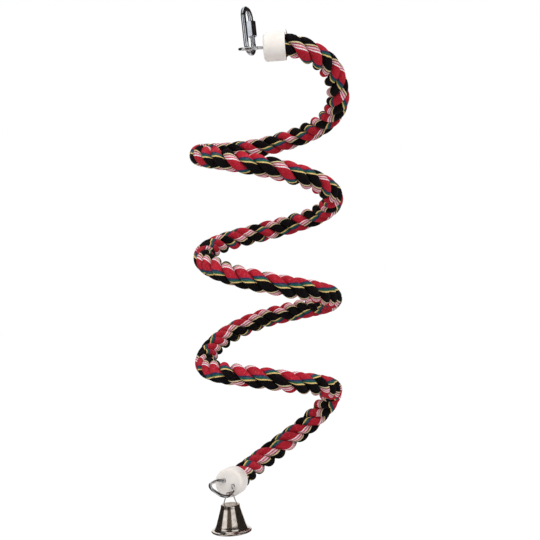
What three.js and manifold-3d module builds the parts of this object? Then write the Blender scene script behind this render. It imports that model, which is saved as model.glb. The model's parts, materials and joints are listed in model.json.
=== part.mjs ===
// A bird climbing spiral: a rope wound round one springy steel wire, with a plastic cap and
// a wire eye at each end, a quick link at the top and a small bell at the bottom.
// Millimetres, +Z up. The origin is inside the top bow of the quick link, where a bar
// carries the toy, so nearly everything hangs below it. The viewer stands towards -Y.

import * as THREE from 'three';
import { mergeVertices } from 'three/addons/utils/BufferGeometryUtils.js';
import Module from 'manifold-3d';

const wasm = await Module();
wasm.setup();

// Clearance
const GAP = 0.3; // left between pieces that touch on the real toy

// Quick link
const LINK_WIRE = 4.8;
const LINK_LENGTH = 46.9; // outside, end to end
const LINK_WIDTH = 21.2; // outside, across both legs
const LINK_TURN = 66; // degrees from the viewer's plane to the plane of the link
const LINK_LEAN = 6; // degrees, its top towards -X
const LINK_STUB = 5.6; // upper threaded end, below the top bow
const LINK_OPENING = 6.0; // between the threaded ends, bridged by the nut
const NUT_GRIP = 3.4; // how far the closed nut reaches up the upper threaded end
const NUT_LENGTH = 14.6;
const NUT_FLATS = 8.6; // across flats
const NUT_TURN = 24; // degrees, as it stands when closed
const LINK_SIDES = 12;
const LINK_ARC_STEP = 15; // degrees of bend per step in the bows

// Steel wire in the rope, bent into an eye at each end
const CORE_WIRE = 3.0;
const CORE_SIDES = 8;
const CORE_RUN = 0.5; // how far the wire's cut end stands past its crimp sleeve
const EYE_LENGTH = 22.6; // cap face to the middle of the far side
const EYE_FOOT = 9.6; // between the legs where they leave the cap
const EYE_SHOULDER = 6.5; // cap face to where the legs stop spreading so fast
const EYE_SHOULDER_SPREAD = 18.4; // between the legs there
const EYE_SHOULDER_BEND = 6.0;
const EYE_SPREAD = 22.0; // between the legs at the far side
const EYE_CORNER = 7.5; // bend radius of the far corners
const EYE_SEAT = 13.3; // cap face to where the quick link carries the top eye
const CORE_PAIR = 3.6; // between the two wires inside a crimp sleeve
const BELL_SEAT = 14.6; // cap face to where the bell hangs on the bottom eye
const LEG_BEND = 2.0; // bend radius of the legs between the cap and the sleeve
const FOOT_BEND = 1.5; // bend radius where a leg leaves the cap
const FOOT_RISE = 1.2; // cap face to that bend
const BEND_INSET = 0.6; // from a cap wall or a sleeve to the nearest bend
const LEG_ROOM = 1.0; // inside of the cap wall to where the legs draw together

// Caps
const CAP_LENGTH = 20.6;
const CAP_WALL = 1.5;
const CAP_ROUND = 3.0; // outer edge of the closed end
const CAP_FIT = 0.35; // tape to the inside of the cap
const CAP_SIDES = 36;
const CAP_ARC_STEPS = 5;
const HOLE_SIDES = 16;

// Crimp sleeves, each in a pocket in the end of the rope
const SLEEVE_WALL = 1.2;
const SLEEVE_LENGTH = 6.0;
const SLEEVE_DEPTH = 8.6; // cap face to the sleeve

// Tape round each end of the rope
const TAPE_THICKNESS = 0.45;
const TAPE_LENGTH = 10.0;

// Rope
const ROPE_DIAMETER = 21.0; // in the coil
const ROPE_TOP_DIAMETER = 22.6; // bunched up below the top cap
const ROPE_BOTTOM_DIAMETER = 21.8; // above the bottom cap
const ROPE_TAPED_DIAMETER = 21.2; // inside the caps
const ROPE_DEPTH = 8.0; // cap face to the end of the rope
const ROPE_SIDES = 12;
const POCKET_DIAMETER = 11.4;
const POCKET_LENGTH = 7.6;
const BORE_SIDES = 8;
const POCKET_TAPER = 0.25; // share of the pocket's width left where the tape ends
const ROPE_BORE_FIT = 0.6; // wire to the wall of the bore

// Coil, measured from the centre of the top cap's face
const COIL_AXIS = [3.6, 57]; // x and y
const COIL_RADIUS = 66; // to the middle of the rope
const COIL_PITCH = 97;
const COIL_TURNS = 3;
const COIL_START = -38; // height of the first point, at the right-hand side
const COIL_STEPS = 24; // per turn
// How far the hand-wound coil strays from an even one, a value every quarter turn. The first
// and last values belong a quarter turn before and after the coil, and only set its slope.
const COIL_SWAY = [1, 4, 1, 2, 3, -1, 3.5, -2, 3, -2, 3, -3.5, -2, -2, -2];
const COIL_SAG = [
  50, 0, -12.5, -6.5, -2.5, -3.5, -6.5, -10.5, -12.5, -5.5, -3, -19, -4.5, -0.5, -20,
];

// The rope's route from the top cap to the coil, and from the coil to the bottom cap. The
// heights below the coil are measured from the coil's even end.
const LEAD = [
  [39.6, -0.6, -2.9],
  [51.6, 7.5, -7.3],
  [61.6, 19.5, -12.8],
  [68.9, 33, -21],
  [72.6, 46, -30.8],
];
const TAIL = [
  [64.1, 71.5, -13.3],
  [53.1, 80.5, -28.8],
  [38.6, 80.5, -42.5],
  [25.1, 74.5, -51.3],
  [12.1, 65, -59.3],
  [0.1, 54, -66.3],
  [-9.9, 42.5, -71.6],
  [-17.4, 29.5, -74.8],
];
const LEAD_STRAIGHT = 27; // cap face to where the rope starts to bend
const TAIL_STRAIGHT = 37;

// Where the caps face. The bottom eye is bent down a little from its cap's axis.
const TOP_OUTWARD = [-0.995, 0.087, -0.052];
const TOP_ACROSS = [0, 0.972, 0.227];
const BOTTOM_FACE = [-32.2, -21, -74];
const BOTTOM_OUTWARD = [-0.223, -0.971, 0.087];
const BOTTOM_ACROSS = [0.774, -0.428, -0.466];
const BOTTOM_EYE_OUTWARD = [-0.439, -0.885, -0.155];

// Bell
const BELL_TOP = 17.2; // diameters
const BELL_WAIST = 29.6;
const BELL_MOUTH = 36.6;
const BELL_HEIGHT = 24.2;
const BELL_WALL = 1.2;
const BELL_LIP = 3.4; // height of the flared lip
const BELL_SHOULDER = 0.8; // rounded edge of the flat top
const BELL_SHOULDER_BREAK = 0.25;
const BELL_BULGE = 0.15; // how far the side's widening comes late, as a share
const BELL_SIDE_STEPS = 4;
const LIP_FLARE = 0.4; // share of the lip's width and height where it turns outwards
const RIM_HEIGHT = 1.7;
const RIM_BREAK = 0.5;
const RIM_ROUND = 0.8;
const RIM_INSET = 0.4;
const BELL_TILT = 3.4; // degrees
const BELL_SIDES = 44;
const BAIL_WIRE = 1.0;
const BAIL_HEIGHT = 10.2; // top of the bell to the middle of the arch
const BAIL_FEET = 12.0; // between the legs in the top of the bell
const BAIL_SPREAD = 4.8; // across the arch
const BAIL_CORNER = 2.0;
const BAIL_SIDES = 8;
const BAIL_SHOULDER = 1.2; // top of the bell to where a leg leans in
const BAIL_LEAN_BEND = 2.0; // bend radii of the bail
const BAR_BEND = 1.4;
const FOOT_FOLD_BEND = 1.2;
const FOOT_FOLD = 2.8; // length of the folded end
const BAR_STOP = 1.6; // free end of the bar to the far leg
const BAR_DEPTH = 4.6; // top of the bell to the bail's long end, which carries the clapper
const CLAPPER_WIRE = 1.2;
const CLAPPER_LOOP = 2.4; // radius
const CLAPPER_BALL = 7.0; // diameter
const CLAPPER_DROP = 14.4; // bar to the middle of the ball
const CLAPPER_BORE = 4.5; // how deep the wire goes into the ball
const CLAPPER_SHANK = 1.6; // straight start of the wire below its loop
const LOOP_START = -58; // degrees
const LOOP_TURN = 318;
const LOOP_STEPS = 13;
const CLAPPER_SIDES = 6;
const BALL_STEPS = 12;
const BALL_SIDES = 20;
const WIRE_ARC_STEP = 24; // degrees of bend per step in the wires
const LEAST_STEP = 0.05; // points of a path that lie closer than this are one

const COLOURS = {
  zinc: { color: 0xc9ccd0, roughness: 0.18, metalness: 1 },
  wire: { color: 0xb9bcc0, roughness: 0.3, metalness: 1 },
  rope: { color: 0x8e2433, roughness: 0.9, metalness: 0 },
  cap: { color: 0xe9e3dc, roughness: 0.4, metalness: 0 },
  sleeve: { color: 0xb4b6b8, roughness: 0.45, metalness: 1 },
  tape: { color: 0xd8d2c4, roughness: 0.6, metalness: 0 },
  nickel: { color: 0xbdb6ae, roughness: 0.12, metalness: 1 },
};

const X = new THREE.Vector3(1, 0, 0);
const Y = new THREE.Vector3(0, 1, 0);
const Z = new THREE.Vector3(0, 0, 1);
const vec = (values) => new THREE.Vector3(...values);
const radians = THREE.MathUtils.degToRad;

function named(name, geometry, look) {
  const mesh = new THREE.Mesh(geometry, new THREE.MeshStandardMaterial(COLOURS[look]));
  mesh.name = name;
  return mesh;
}

// Joins and cuts

function solidOf(geometry) {
  const bare = geometry.clone();
  bare.deleteAttribute('normal');
  bare.deleteAttribute('uv');
  const merged = mergeVertices(bare, 1e-4);
  const vertProperties = Float32Array.from(merged.attributes.position.array);
  const triVerts = Uint32Array.from(merged.index.array);
  return new wasm.Manifold(new wasm.Mesh({ numProp: 3, vertProperties, triVerts }));
}

function cutAway(geometry, tools) {
  let solid = solidOf(geometry);
  for (const tool of tools) solid = solid.subtract(solidOf(tool));
  const { vertProperties, triVerts } = solid.getMesh();
  const cut = new THREE.BufferGeometry();
  cut.setAttribute('position', new THREE.BufferAttribute(Float32Array.from(vertProperties), 3));
  cut.setIndex(new THREE.BufferAttribute(Uint32Array.from(triVerts), 1));
  cut.computeVertexNormals();
  return cut;
}

// Paths and tubes

// A path through corners, each given as [point, bend radius]. The first and last are ends.
function bentPath(corners, degreesPerStep = WIRE_ARC_STEP) {
  const path = [corners[0][0].clone()];
  for (let i = 1; i < corners.length - 1; i += 1) {
    const [corner, radius] = corners[i];
    const back = corners[i - 1][0].clone().sub(corner).normalize();
    const ahead = corners[i + 1][0].clone().sub(corner).normalize();
    const half = back.angleTo(ahead) / 2;
    const turn = Math.PI - 2 * half;
    const steps = Math.max(1, Math.round(THREE.MathUtils.radToDeg(turn) / degreesPerStep));
    const middle = back.clone().add(ahead).normalize();
    middle.multiplyScalar(radius / Math.sin(half)).add(corner);
    const start = back.clone().multiplyScalar(radius / Math.tan(half)).add(corner).sub(middle);
    const spin = new THREE.Vector3().crossVectors(ahead, back).normalize();
    for (let step = 0; step <= steps; step += 1) {
      path.push(start.clone().applyAxisAngle(spin, (turn * step) / steps).add(middle));
    }
  }
  path.push(corners[corners.length - 1][0].clone());
  return path;
}

function withoutRepeats(path) {
  return path.filter((p, i) => i === 0 || p.distanceTo(path[i - 1]) > LEAST_STEP);
}

// Directions along a path, and a side direction at each point that twists as little as it can.
function framesAlong(path) {
  const frames = [];
  let side = null;
  path.forEach((point, i) => {
    const ahead = new THREE.Vector3();
    if (i > 0) ahead.add(point.clone().sub(path[i - 1]).normalize());
    if (i < path.length - 1) ahead.add(path[i + 1].clone().sub(point).normalize());
    ahead.normalize();
    if (!side) side = Math.abs(ahead.z) < 0.9 ? Z.clone() : X.clone();
    side = side.clone().addScaledVector(ahead, -side.dot(ahead)).normalize();
    frames.push({ point, side, up: new THREE.Vector3().crossVectors(ahead, side) });
  });
  return frames;
}

function ringOf({ point, side, up }, radius, sides) {
  const ring = [];
  for (let k = 0; k < sides; k += 1) {
    const angle = (2 * Math.PI * k) / sides;
    const offset = side.clone().multiplyScalar(Math.cos(angle)).addScaledVector(up, Math.sin(angle));
    ring.push(point.clone().addScaledVector(offset, radius));
  }
  return ring;
}

// One closed tube along a path. radii has a value per point; so has bores, for a hollow tube.
function tubeAlong(path, radii, sides, bores = null, boreSides = 0) {
  const frames = framesAlong(path);
  const vertices = [];
  const faces = [];
  const addRing = (ring) => ring.map((p) => vertices.push(p) - 1);
  const outer = frames.map((frame, i) => addRing(ringOf(frame, radii[i], sides)));
  const join = (a, b, inward) => {
    a.forEach((v, k) => {
      const next = (k + 1) % a.length;
      const quad = [v, a[next], b[next], b[k]];
      if (inward) quad.reverse();
      faces.push(quad[0], quad[1], quad[2], quad[0], quad[2], quad[3]);
    });
  };
  for (let i = 1; i < outer.length; i += 1) join(outer[i - 1], outer[i], false);
  const last = path.length - 1;
  if (bores) {
    const inner = frames.map((frame, i) => addRing(ringOf(frame, bores[i], boreSides)));
    for (let i = 1; i < inner.length; i += 1) join(inner[i - 1], inner[i], true);
    closeBetween(outer[0], inner[0], vertices, faces, true);
    closeBetween(outer[last], inner[last], vertices, faces, false);
  } else {
    for (const [ring, first] of [[outer[0], true], [outer[last], false]]) {
      for (let k = 1; k < ring.length - 1; k += 1) {
        faces.push(ring[0], ring[first ? k + 1 : k], ring[first ? k : k + 1]);
      }
    }
  }
  const geometry = new THREE.BufferGeometry();
  const places = vertices.flatMap((v) => [v.x, v.y, v.z]);
  geometry.setAttribute('position', new THREE.Float32BufferAttribute(places, 3));
  geometry.setIndex(faces);
  geometry.computeVertexNormals();
  return geometry;
}

// The flat end of a hollow tube, between an outer and an inner ring of unlike counts.
function closeBetween(outer, inner, vertices, faces, first) {
  let a = 0;
  let b = 0;
  while (a < outer.length || b < inner.length) {
    const stepOuter = (a + 1) / outer.length <= (b + 1) / inner.length && a < outer.length;
    const o = outer[a % outer.length];
    const n = inner[b % inner.length];
    const third = stepOuter ? outer[(a + 1) % outer.length] : inner[(b + 1) % inner.length];
    faces.push(...(first ? [o, n, third] : [o, third, n]));
    if (stepOuter) a += 1;
    else b += 1;
  }
}

const evenRadii = (path, diameter) => path.map(() => diameter / 2);

function wireTube(path, diameter, sides) {
  return tubeAlong(path, evenRadii(path, diameter), sides);
}

// Moves a geometry made along local axes into place: x, y and z go to the three directions.
function placed(geometry, origin, x, y, z) {
  const basis = new THREE.Matrix4().makeBasis(x, y, z).setPosition(origin);
  return geometry.applyMatrix4(basis);
}

// Quick link, in its own upright frame: legs at -x and +x, the nut on the +x leg

const legOffset = (LINK_WIDTH - LINK_WIRE) / 2;
const linkTop = LINK_WIRE / 2; // middle of the wire at the top of the bow
const linkBottom = linkTop - (LINK_LENGTH - LINK_WIRE);
const stubEnd = linkTop - legOffset - LINK_STUB;
const nutTop = stubEnd + NUT_GRIP;

function quickLinkBody() {
  const corners = [
    [new THREE.Vector3(legOffset, 0, stubEnd - LINK_OPENING), 0],
    [new THREE.Vector3(legOffset, 0, linkBottom), legOffset],
    [new THREE.Vector3(-legOffset, 0, linkBottom), legOffset],
    [new THREE.Vector3(-legOffset, 0, linkTop), legOffset],
    [new THREE.Vector3(legOffset, 0, linkTop), legOffset],
    [new THREE.Vector3(legOffset, 0, stubEnd), 0],
  ];
  const path = withoutRepeats(bentPath(corners, LINK_ARC_STEP));
  return named('quick_link_body', wireTube(path, LINK_WIRE, LINK_SIDES), 'zinc');
}

function quickLinkNut() {
  const hexagon = new THREE.Shape();
  const corner = NUT_FLATS / 2 / Math.cos(Math.PI / 6);
  for (let k = 0; k < 6; k += 1) {
    const angle = radians(NUT_TURN + 60 * k);
    const point = [corner * Math.cos(angle), corner * Math.sin(angle)];
    if (k === 0) hexagon.moveTo(...point);
    else hexagon.lineTo(...point);
  }
  hexagon.closePath();
  hexagon.holes.push(new THREE.Path().absarc(0, 0, LINK_WIRE / 2 + GAP, 0, 2 * Math.PI, true));
  const look = { depth: NUT_LENGTH, bevelEnabled: false, curveSegments: LINK_SIDES };
  const geometry = new THREE.ExtrudeGeometry(hexagon, look);
  geometry.translate(legOffset, 0, nutTop - NUT_LENGTH);
  return named('quick_link_nut', geometry, 'zinc');
}

const quickLink = new THREE.Group();
quickLink.add(quickLinkBody(), quickLinkNut());
quickLink.quaternion.setFromAxisAngle(Y, -radians(LINK_LEAN));
quickLink.quaternion.multiply(new THREE.Quaternion().setFromAxisAngle(Z, radians(LINK_TURN)));
quickLink.updateMatrixWorld(true);

// End fittings. Each has a face, the direction that its cap points, and the direction from
// one leg of its eye to the other.

function fitting(face, outward, across, eyeOutward) {
  const out = vec(outward).normalize();
  const eyeOut = vec(eyeOutward).normalize();
  const side = vec(across);
  side.addScaledVector(eyeOut, -side.dot(eyeOut)).normalize();
  const footSide = side.clone().addScaledVector(out, -side.dot(out)).normalize();
  return { face, out, eyeOut, side, footSide };
}

// Half the way between the legs of an eye, beyond its shoulders.
function legSpread(along) {
  const share = (along - EYE_SHOULDER) / (EYE_LENGTH - EYE_SHOULDER);
  return THREE.MathUtils.lerp(EYE_SHOULDER_SPREAD, EYE_SPREAD, share) / 2;
}

function onLeg(end, along, sign) {
  const point = end.face.clone().addScaledVector(end.eyeOut, along);
  return point.addScaledVector(end.side, sign * legSpread(along));
}

// The top eye rests in the bottom bow of the link, and the whole spiral is placed from there.
const linkSeat = new THREE.Vector3(0, 0, linkBottom).applyMatrix4(quickLink.matrixWorld);
linkSeat.z += LINK_WIRE / 2 + CORE_WIRE / 2 + GAP;
const topEnd = fitting(new THREE.Vector3(), TOP_OUTWARD, TOP_ACROSS, TOP_OUTWARD);
const spiralOrigin = linkSeat.clone().sub(onLeg(topEnd, EYE_SEAT, 1));
const coilEnd = COIL_START - COIL_PITCH * COIL_TURNS;
const belowCoil = ([x, y, drop]) => new THREE.Vector3(x, y, coilEnd + drop);
const bottomEnd = fitting(belowCoil(BOTTOM_FACE), BOTTOM_OUTWARD, BOTTOM_ACROSS, BOTTOM_EYE_OUTWARD);

const inside = (end, depth) => end.face.clone().addScaledVector(end.out, -depth);

// Rope

// A smooth value between the quarter-turn values of a list.
function strayed(values, quarter) {
  const i = Math.min(Math.floor(quarter), values.length - 4);
  const t = quarter - i;
  const [p0, p1, p2, p3] = values.slice(i, i + 4);
  const slopeIn = (p2 - p0) / 2;
  const slopeOut = (p3 - p1) / 2;
  const ends = p1 * (2 * t ** 3 - 3 * t ** 2 + 1) + p2 * (3 * t ** 2 - 2 * t ** 3);
  return ends + slopeIn * (t ** 3 - 2 * t ** 2 + t) + slopeOut * (t ** 3 - t ** 2);
}

function coilPoint(step) {
  const turn = step / COIL_STEPS;
  const radius = COIL_RADIUS + strayed(COIL_SWAY, turn * 4);
  const height = COIL_START - COIL_PITCH * turn + strayed(COIL_SAG, turn * 4);
  const angle = 2 * Math.PI * turn;
  const [x, y] = COIL_AXIS;
  return new THREE.Vector3(x + radius * Math.cos(angle), y + radius * Math.sin(angle), height);
}

const tapeOuter = ROPE_TAPED_DIAMETER + 2 * (GAP + TAPE_THICKNESS);
const capBore = tapeOuter + 2 * CAP_FIT;
const taped = ROPE_DEPTH + TAPE_LENGTH + GAP;
const pocketEnd = ROPE_DEPTH + POCKET_LENGTH;
const boreStart = pocketEnd + (POCKET_DIAMETER - CORE_WIRE) / 2;
const ropeBore = CORE_WIRE + 2 * ROPE_BORE_FIT;
const pocketNeck = ropeBore + (POCKET_DIAMETER - ropeBore) * POCKET_TAPER;

// Stations inside a cap, from the end of the rope outwards: depth, rope and bore diameters.
function capStations(freeDiameter, straight) {
  return [
    [ROPE_DEPTH, ROPE_TAPED_DIAMETER, POCKET_DIAMETER],
    [pocketEnd, ROPE_TAPED_DIAMETER, POCKET_DIAMETER],
    [taped, ROPE_TAPED_DIAMETER, pocketNeck],
    [CAP_LENGTH, Math.min(freeDiameter, capBore) - 2 * GAP, ropeBore],
    [straight, freeDiameter, ropeBore],
  ];
}

const ropeRoute = [];
const addStation = (point, diameter, bore = ropeBore) => ropeRoute.push({ point, diameter, bore });

for (const [depth, diameter, bore] of capStations(ROPE_TOP_DIAMETER, LEAD_STRAIGHT)) {
  addStation(inside(topEnd, depth), diameter, bore);
}
LEAD.forEach((point) => addStation(vec(point), ROPE_TOP_DIAMETER));
for (let step = 0; step <= COIL_TURNS * COIL_STEPS; step += 1) {
  const settled = Math.min(1, step / (COIL_STEPS / 4));
  addStation(coilPoint(step), THREE.MathUtils.lerp(ROPE_TOP_DIAMETER, ROPE_DIAMETER, settled));
}
TAIL.forEach((point, i) => {
  const share = (i + 1) / TAIL.length;
  addStation(belowCoil(point), THREE.MathUtils.lerp(ROPE_DIAMETER, ROPE_BOTTOM_DIAMETER, share));
});
for (const [depth, diameter, bore] of capStations(ROPE_BOTTOM_DIAMETER, TAIL_STRAIGHT).reverse()) {
  addStation(inside(bottomEnd, depth), diameter, bore);
}

function rope() {
  const path = ropeRoute.map((station) => station.point);
  const radii = ropeRoute.map((station) => station.diameter / 2);
  const bores = ropeRoute.map((station) => station.bore / 2);
  return named('rope', tubeAlong(path, radii, ROPE_SIDES, bores, BORE_SIDES), 'rope');
}

// The least gap between stretches of the rope that are over half a turn apart.
function leastGap() {
  const apart = COIL_STEPS / 2;
  let least = Infinity;
  ropeRoute.forEach((a, i) => {
    for (const b of ropeRoute.slice(i + apart)) {
      least = Math.min(least, a.point.distanceTo(b.point) - (a.diameter + b.diameter) / 2);
    }
  });
  return least;
}

function ropeLength() {
  let length = 0;
  ropeRoute.forEach((station, i) => {
    if (i > 0) length += station.point.distanceTo(ropeRoute[i - 1].point);
  });
  return length;
}

console.log(`rope: least gap to itself ${leastGap().toFixed(1)} mm, length ${ropeLength().toFixed(0)} mm`);

// Steel wire: a tail in the sleeve, the eye, the other leg in the sleeve, then the rope's bore

function eyeAndTail(end) {
  const wallInside = CAP_WALL + LEG_ROOM;
  const sleeveEnd = SLEEVE_DEPTH + SLEEVE_LENGTH;
  const foot = (depth, spread, sign) =>
    inside(end, depth).addScaledVector(end.footSide, (sign * spread) / 2);
  const half = (sign) => [
    [foot(sleeveEnd + CORE_RUN, CORE_PAIR, sign), 0],
    [foot(SLEEVE_DEPTH - BEND_INSET, CORE_PAIR, sign), LEG_BEND],
    [foot(wallInside + BEND_INSET, EYE_FOOT, sign), LEG_BEND],
    [foot(-FOOT_RISE, EYE_FOOT, sign), FOOT_BEND],
    [onLeg(end, EYE_SHOULDER, sign), EYE_SHOULDER_BEND],
    [onLeg(end, EYE_LENGTH, sign), EYE_CORNER],
  ];
  // The tail runs up the +1 side, and the wire comes back down the -1 side.
  const corners = [...half(1), ...half(-1).reverse()];
  corners.push([inside(end, boreStart), 0]);
  corners[corners.length - 2][1] = LEG_BEND;
  return bentPath(corners);
}

function coreWire() {
  const start = ropeRoute.findIndex((s, i) => i > 0 && s.bore === ropeBore);
  const inRope = ropeRoute.slice(start, ropeRoute.length - start).map((s) => s.point);
  const top = eyeAndTail(topEnd);
  const bottom = eyeAndTail(bottomEnd).reverse();
  const path = withoutRepeats([...top, ...inRope, ...bottom]);
  return named('core_wire', wireTube(path, CORE_WIRE, CORE_SIDES), 'wire');
}

// Caps, sleeves and tape

function capProfile() {
  const outer = capBore / 2 + CAP_WALL;
  const profile = [new THREE.Vector2(0, 0)];
  for (let k = 0; k <= CAP_ARC_STEPS; k += 1) {
    const angle = (Math.PI / 2) * (k / CAP_ARC_STEPS);
    const inset = CAP_ROUND * (1 - Math.sin(angle));
    profile.push(new THREE.Vector2(outer - inset, CAP_ROUND * (1 - Math.cos(angle))));
  }
  profile.push(new THREE.Vector2(outer, CAP_LENGTH));
  profile.push(new THREE.Vector2(outer - CAP_WALL, CAP_LENGTH));
  profile.push(new THREE.Vector2(outer - CAP_WALL, CAP_ROUND));
  profile.push(new THREE.Vector2(outer - CAP_ROUND, CAP_WALL));
  profile.push(new THREE.Vector2(0, CAP_WALL));
  return profile;
}

// In a fitting's own frame: y runs from the face into the cap, x from leg to leg of the eye.
function seated(geometry, end) {
  const inward = end.out.clone().negate();
  const through = new THREE.Vector3().crossVectors(end.footSide, inward);
  return placed(geometry, end.face, end.footSide, inward, through);
}

function cap(name, end) {
  const shell = new THREE.LatheGeometry(capProfile(), CAP_SIDES);
  const holes = [-1, 1].map((sign) => {
    const radius = CORE_WIRE / 2 + GAP;
    const hole = new THREE.CylinderGeometry(radius, radius, 4 * CAP_WALL, HOLE_SIDES);
    return hole.translate((sign * EYE_FOOT) / 2, 0, 0);
  });
  return named(name, seated(cutAway(shell, holes), end), 'cap');
}

function stadium(path, halfLength, radius) {
  path.moveTo(halfLength, -radius);
  path.absarc(halfLength, 0, radius, -Math.PI / 2, Math.PI / 2, false);
  path.lineTo(-halfLength, radius);
  path.absarc(-halfLength, 0, radius, Math.PI / 2, (3 * Math.PI) / 2, false);
  path.closePath();
  return path;
}

function crimpSleeve(name, end) {
  const inner = CORE_WIRE / 2 + GAP;
  const shape = stadium(new THREE.Shape(), CORE_PAIR / 2, inner + SLEEVE_WALL);
  shape.holes.push(stadium(new THREE.Path(), CORE_PAIR / 2, inner));
  const look = { depth: SLEEVE_LENGTH, bevelEnabled: false, curveSegments: CORE_SIDES };
  const geometry = new THREE.ExtrudeGeometry(shape, look);
  geometry.rotateX(-Math.PI / 2);
  geometry.translate(0, SLEEVE_DEPTH, 0);
  return named(name, seated(geometry, end), 'sleeve');
}

function endTape(name, end) {
  const outer = tapeOuter / 2;
  const inner = outer - TAPE_THICKNESS;
  const low = ROPE_DEPTH;
  const high = low + TAPE_LENGTH;
  const profile = [[inner, low], [outer, low], [outer, high], [inner, high], [inner, low]];
  const band = new THREE.LatheGeometry(profile.map(([r, y]) => new THREE.Vector2(r, y)), CAP_SIDES);
  return named(name, seated(band, end), 'tape');
}

// Bell, in its own frame: the origin is the middle of the eye's wire, where it hangs

const bellTop = CORE_WIRE / 2 + BAIL_WIRE / 2 + GAP - BAIL_HEIGHT;
const footDepth = BELL_WALL + GAP + BAIL_WIRE / 2; // the folded end of the bail, under the bell's top
const bellSeat = onLeg(bottomEnd, BELL_SEAT, 1);

function bellProfile() {
  const top = BELL_TOP / 2;
  const waist = BELL_WAIST / 2;
  const mouth = BELL_MOUTH / 2;
  const lipTop = BELL_LIP - BELL_HEIGHT;
  const outside = [
    [0, 0],
    [top - BELL_SHOULDER, 0],
    [top - BELL_SHOULDER_BREAK, -BELL_SHOULDER_BREAK],
    [top, -BELL_SHOULDER],
  ];
  for (let k = 1; k <= BELL_SIDE_STEPS; k += 1) {
    const t = k / BELL_SIDE_STEPS;
    const widening = (1 - BELL_BULGE) * t + BELL_BULGE * t * t;
    outside.push([top + (waist - top) * widening, -BELL_SHOULDER + (lipTop + BELL_SHOULDER) * t]);
  }
  outside.push([waist + (mouth - waist) * LIP_FLARE, lipTop - BELL_LIP * LIP_FLARE]);
  outside.push([mouth - RIM_BREAK, -BELL_HEIGHT + RIM_HEIGHT]);
  outside.push([mouth, -BELL_HEIGHT + RIM_ROUND]);
  outside.push([mouth - RIM_INSET, -BELL_HEIGHT]);
  const within = outside.slice(1, -3).map(([r, z]) => [r - BELL_WALL, z - BELL_WALL / 2]).reverse();
  within.unshift([mouth - 2 * BELL_WALL, -BELL_HEIGHT]);
  const lid = within.pop();
  return [...outside, ...within, [lid[0], -BELL_WALL], [0, -BELL_WALL]];
}

function bellShell() {
  const points = bellProfile().map(([r, z]) => new THREE.Vector2(r, z)).reverse();
  const shell = new THREE.LatheGeometry(points, BELL_SIDES);
  const holes = [-1, 1].map((sign) => {
    const radius = BAIL_WIRE / 2 + GAP;
    const hole = new THREE.CylinderGeometry(radius, radius, 4 * BELL_WALL, HOLE_SIDES);
    return hole.translate((sign * BAIL_FEET) / 2, 0, 0);
  });
  const geometry = cutAway(shell, holes);
  geometry.rotateX(Math.PI / 2);
  geometry.translate(0, 0, bellTop);
  return named('bell_shell', geometry, 'nickel');
}

function bellBail() {
  const at = (x, z) => new THREE.Vector3(x, 0, bellTop + z);
  const foot = BAIL_FEET / 2;
  const arch = BAIL_SPREAD / 2;
  const corners = [
    [at(BAR_STOP - foot, -BAR_DEPTH), 0],
    [at(foot, -BAR_DEPTH), BAR_BEND],
    [at(foot, BAIL_SHOULDER), BAIL_LEAN_BEND],
    [at(arch, BAIL_HEIGHT), BAIL_CORNER],
    [at(-arch, BAIL_HEIGHT), BAIL_CORNER],
    [at(-foot, BAIL_SHOULDER), BAIL_LEAN_BEND],
    [at(-foot, -footDepth), FOOT_FOLD_BEND],
    [at(FOOT_FOLD - foot, -footDepth), 0],
  ];
  return named('bell_bail', wireTube(bentPath(corners), BAIL_WIRE, BAIL_SIDES), 'wire');
}

const barHeight = bellTop - BAR_DEPTH;
const loopMiddle = barHeight + BAIL_WIRE / 2 + CLAPPER_WIRE / 2 + GAP - CLAPPER_LOOP;
const ballMiddle = barHeight - CLAPPER_DROP;

function clapperWire() {
  const path = [];
  for (let k = 0; k <= LOOP_STEPS; k += 1) {
    const angle = radians(LOOP_START + (LOOP_TURN * k) / LOOP_STEPS);
    const height = loopMiddle + CLAPPER_LOOP * Math.sin(angle);
    path.push(new THREE.Vector3(0, CLAPPER_LOOP * Math.cos(angle), height));
  }
  path.push(new THREE.Vector3(0, 0, loopMiddle - CLAPPER_LOOP - CLAPPER_SHANK));
  path.push(new THREE.Vector3(0, 0, ballMiddle + CLAPPER_BALL / 2 - CLAPPER_BORE + GAP));
  return named('clapper_wire', wireTube(path, CLAPPER_WIRE, CLAPPER_SIDES), 'wire');
}

function clapperBall() {
  const radius = CLAPPER_BALL / 2;
  const bore = CLAPPER_WIRE / 2 + GAP;
  const mouthAngle = Math.acos(bore / radius);
  const profile = [];
  for (let k = 0; k <= BALL_STEPS; k += 1) {
    const angle = -Math.PI / 2 + ((mouthAngle + Math.PI / 2) * k) / BALL_STEPS;
    const across = k === 0 ? 0 : radius * Math.cos(angle);
    profile.push(new THREE.Vector2(across, radius * Math.sin(angle)));
  }
  profile.push(new THREE.Vector2(bore, radius - CLAPPER_BORE));
  profile.push(new THREE.Vector2(0, radius - CLAPPER_BORE));
  const ball = new THREE.LatheGeometry(profile, BALL_SIDES);
  ball.rotateX(Math.PI / 2);
  ball.translate(0, 0, ballMiddle);
  return named('clapper_ball', ball, 'nickel');
}

// The bell faces across the leg of the eye that it hangs on.
const bell = new THREE.Group();
bell.add(bellShell(), bellBail(), clapperWire(), clapperBall());
const legAlong = onLeg(bottomEnd, EYE_LENGTH, 1).sub(onLeg(bottomEnd, EYE_SHOULDER, 1));
legAlong.setZ(0).normalize();
const bellTurn = Math.atan2(legAlong.x, -legAlong.y);
bell.position.copy(bellSeat);
bell.quaternion.setFromAxisAngle(legAlong, radians(BELL_TILT));
bell.quaternion.multiply(new THREE.Quaternion().setFromAxisAngle(Z, bellTurn));

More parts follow.
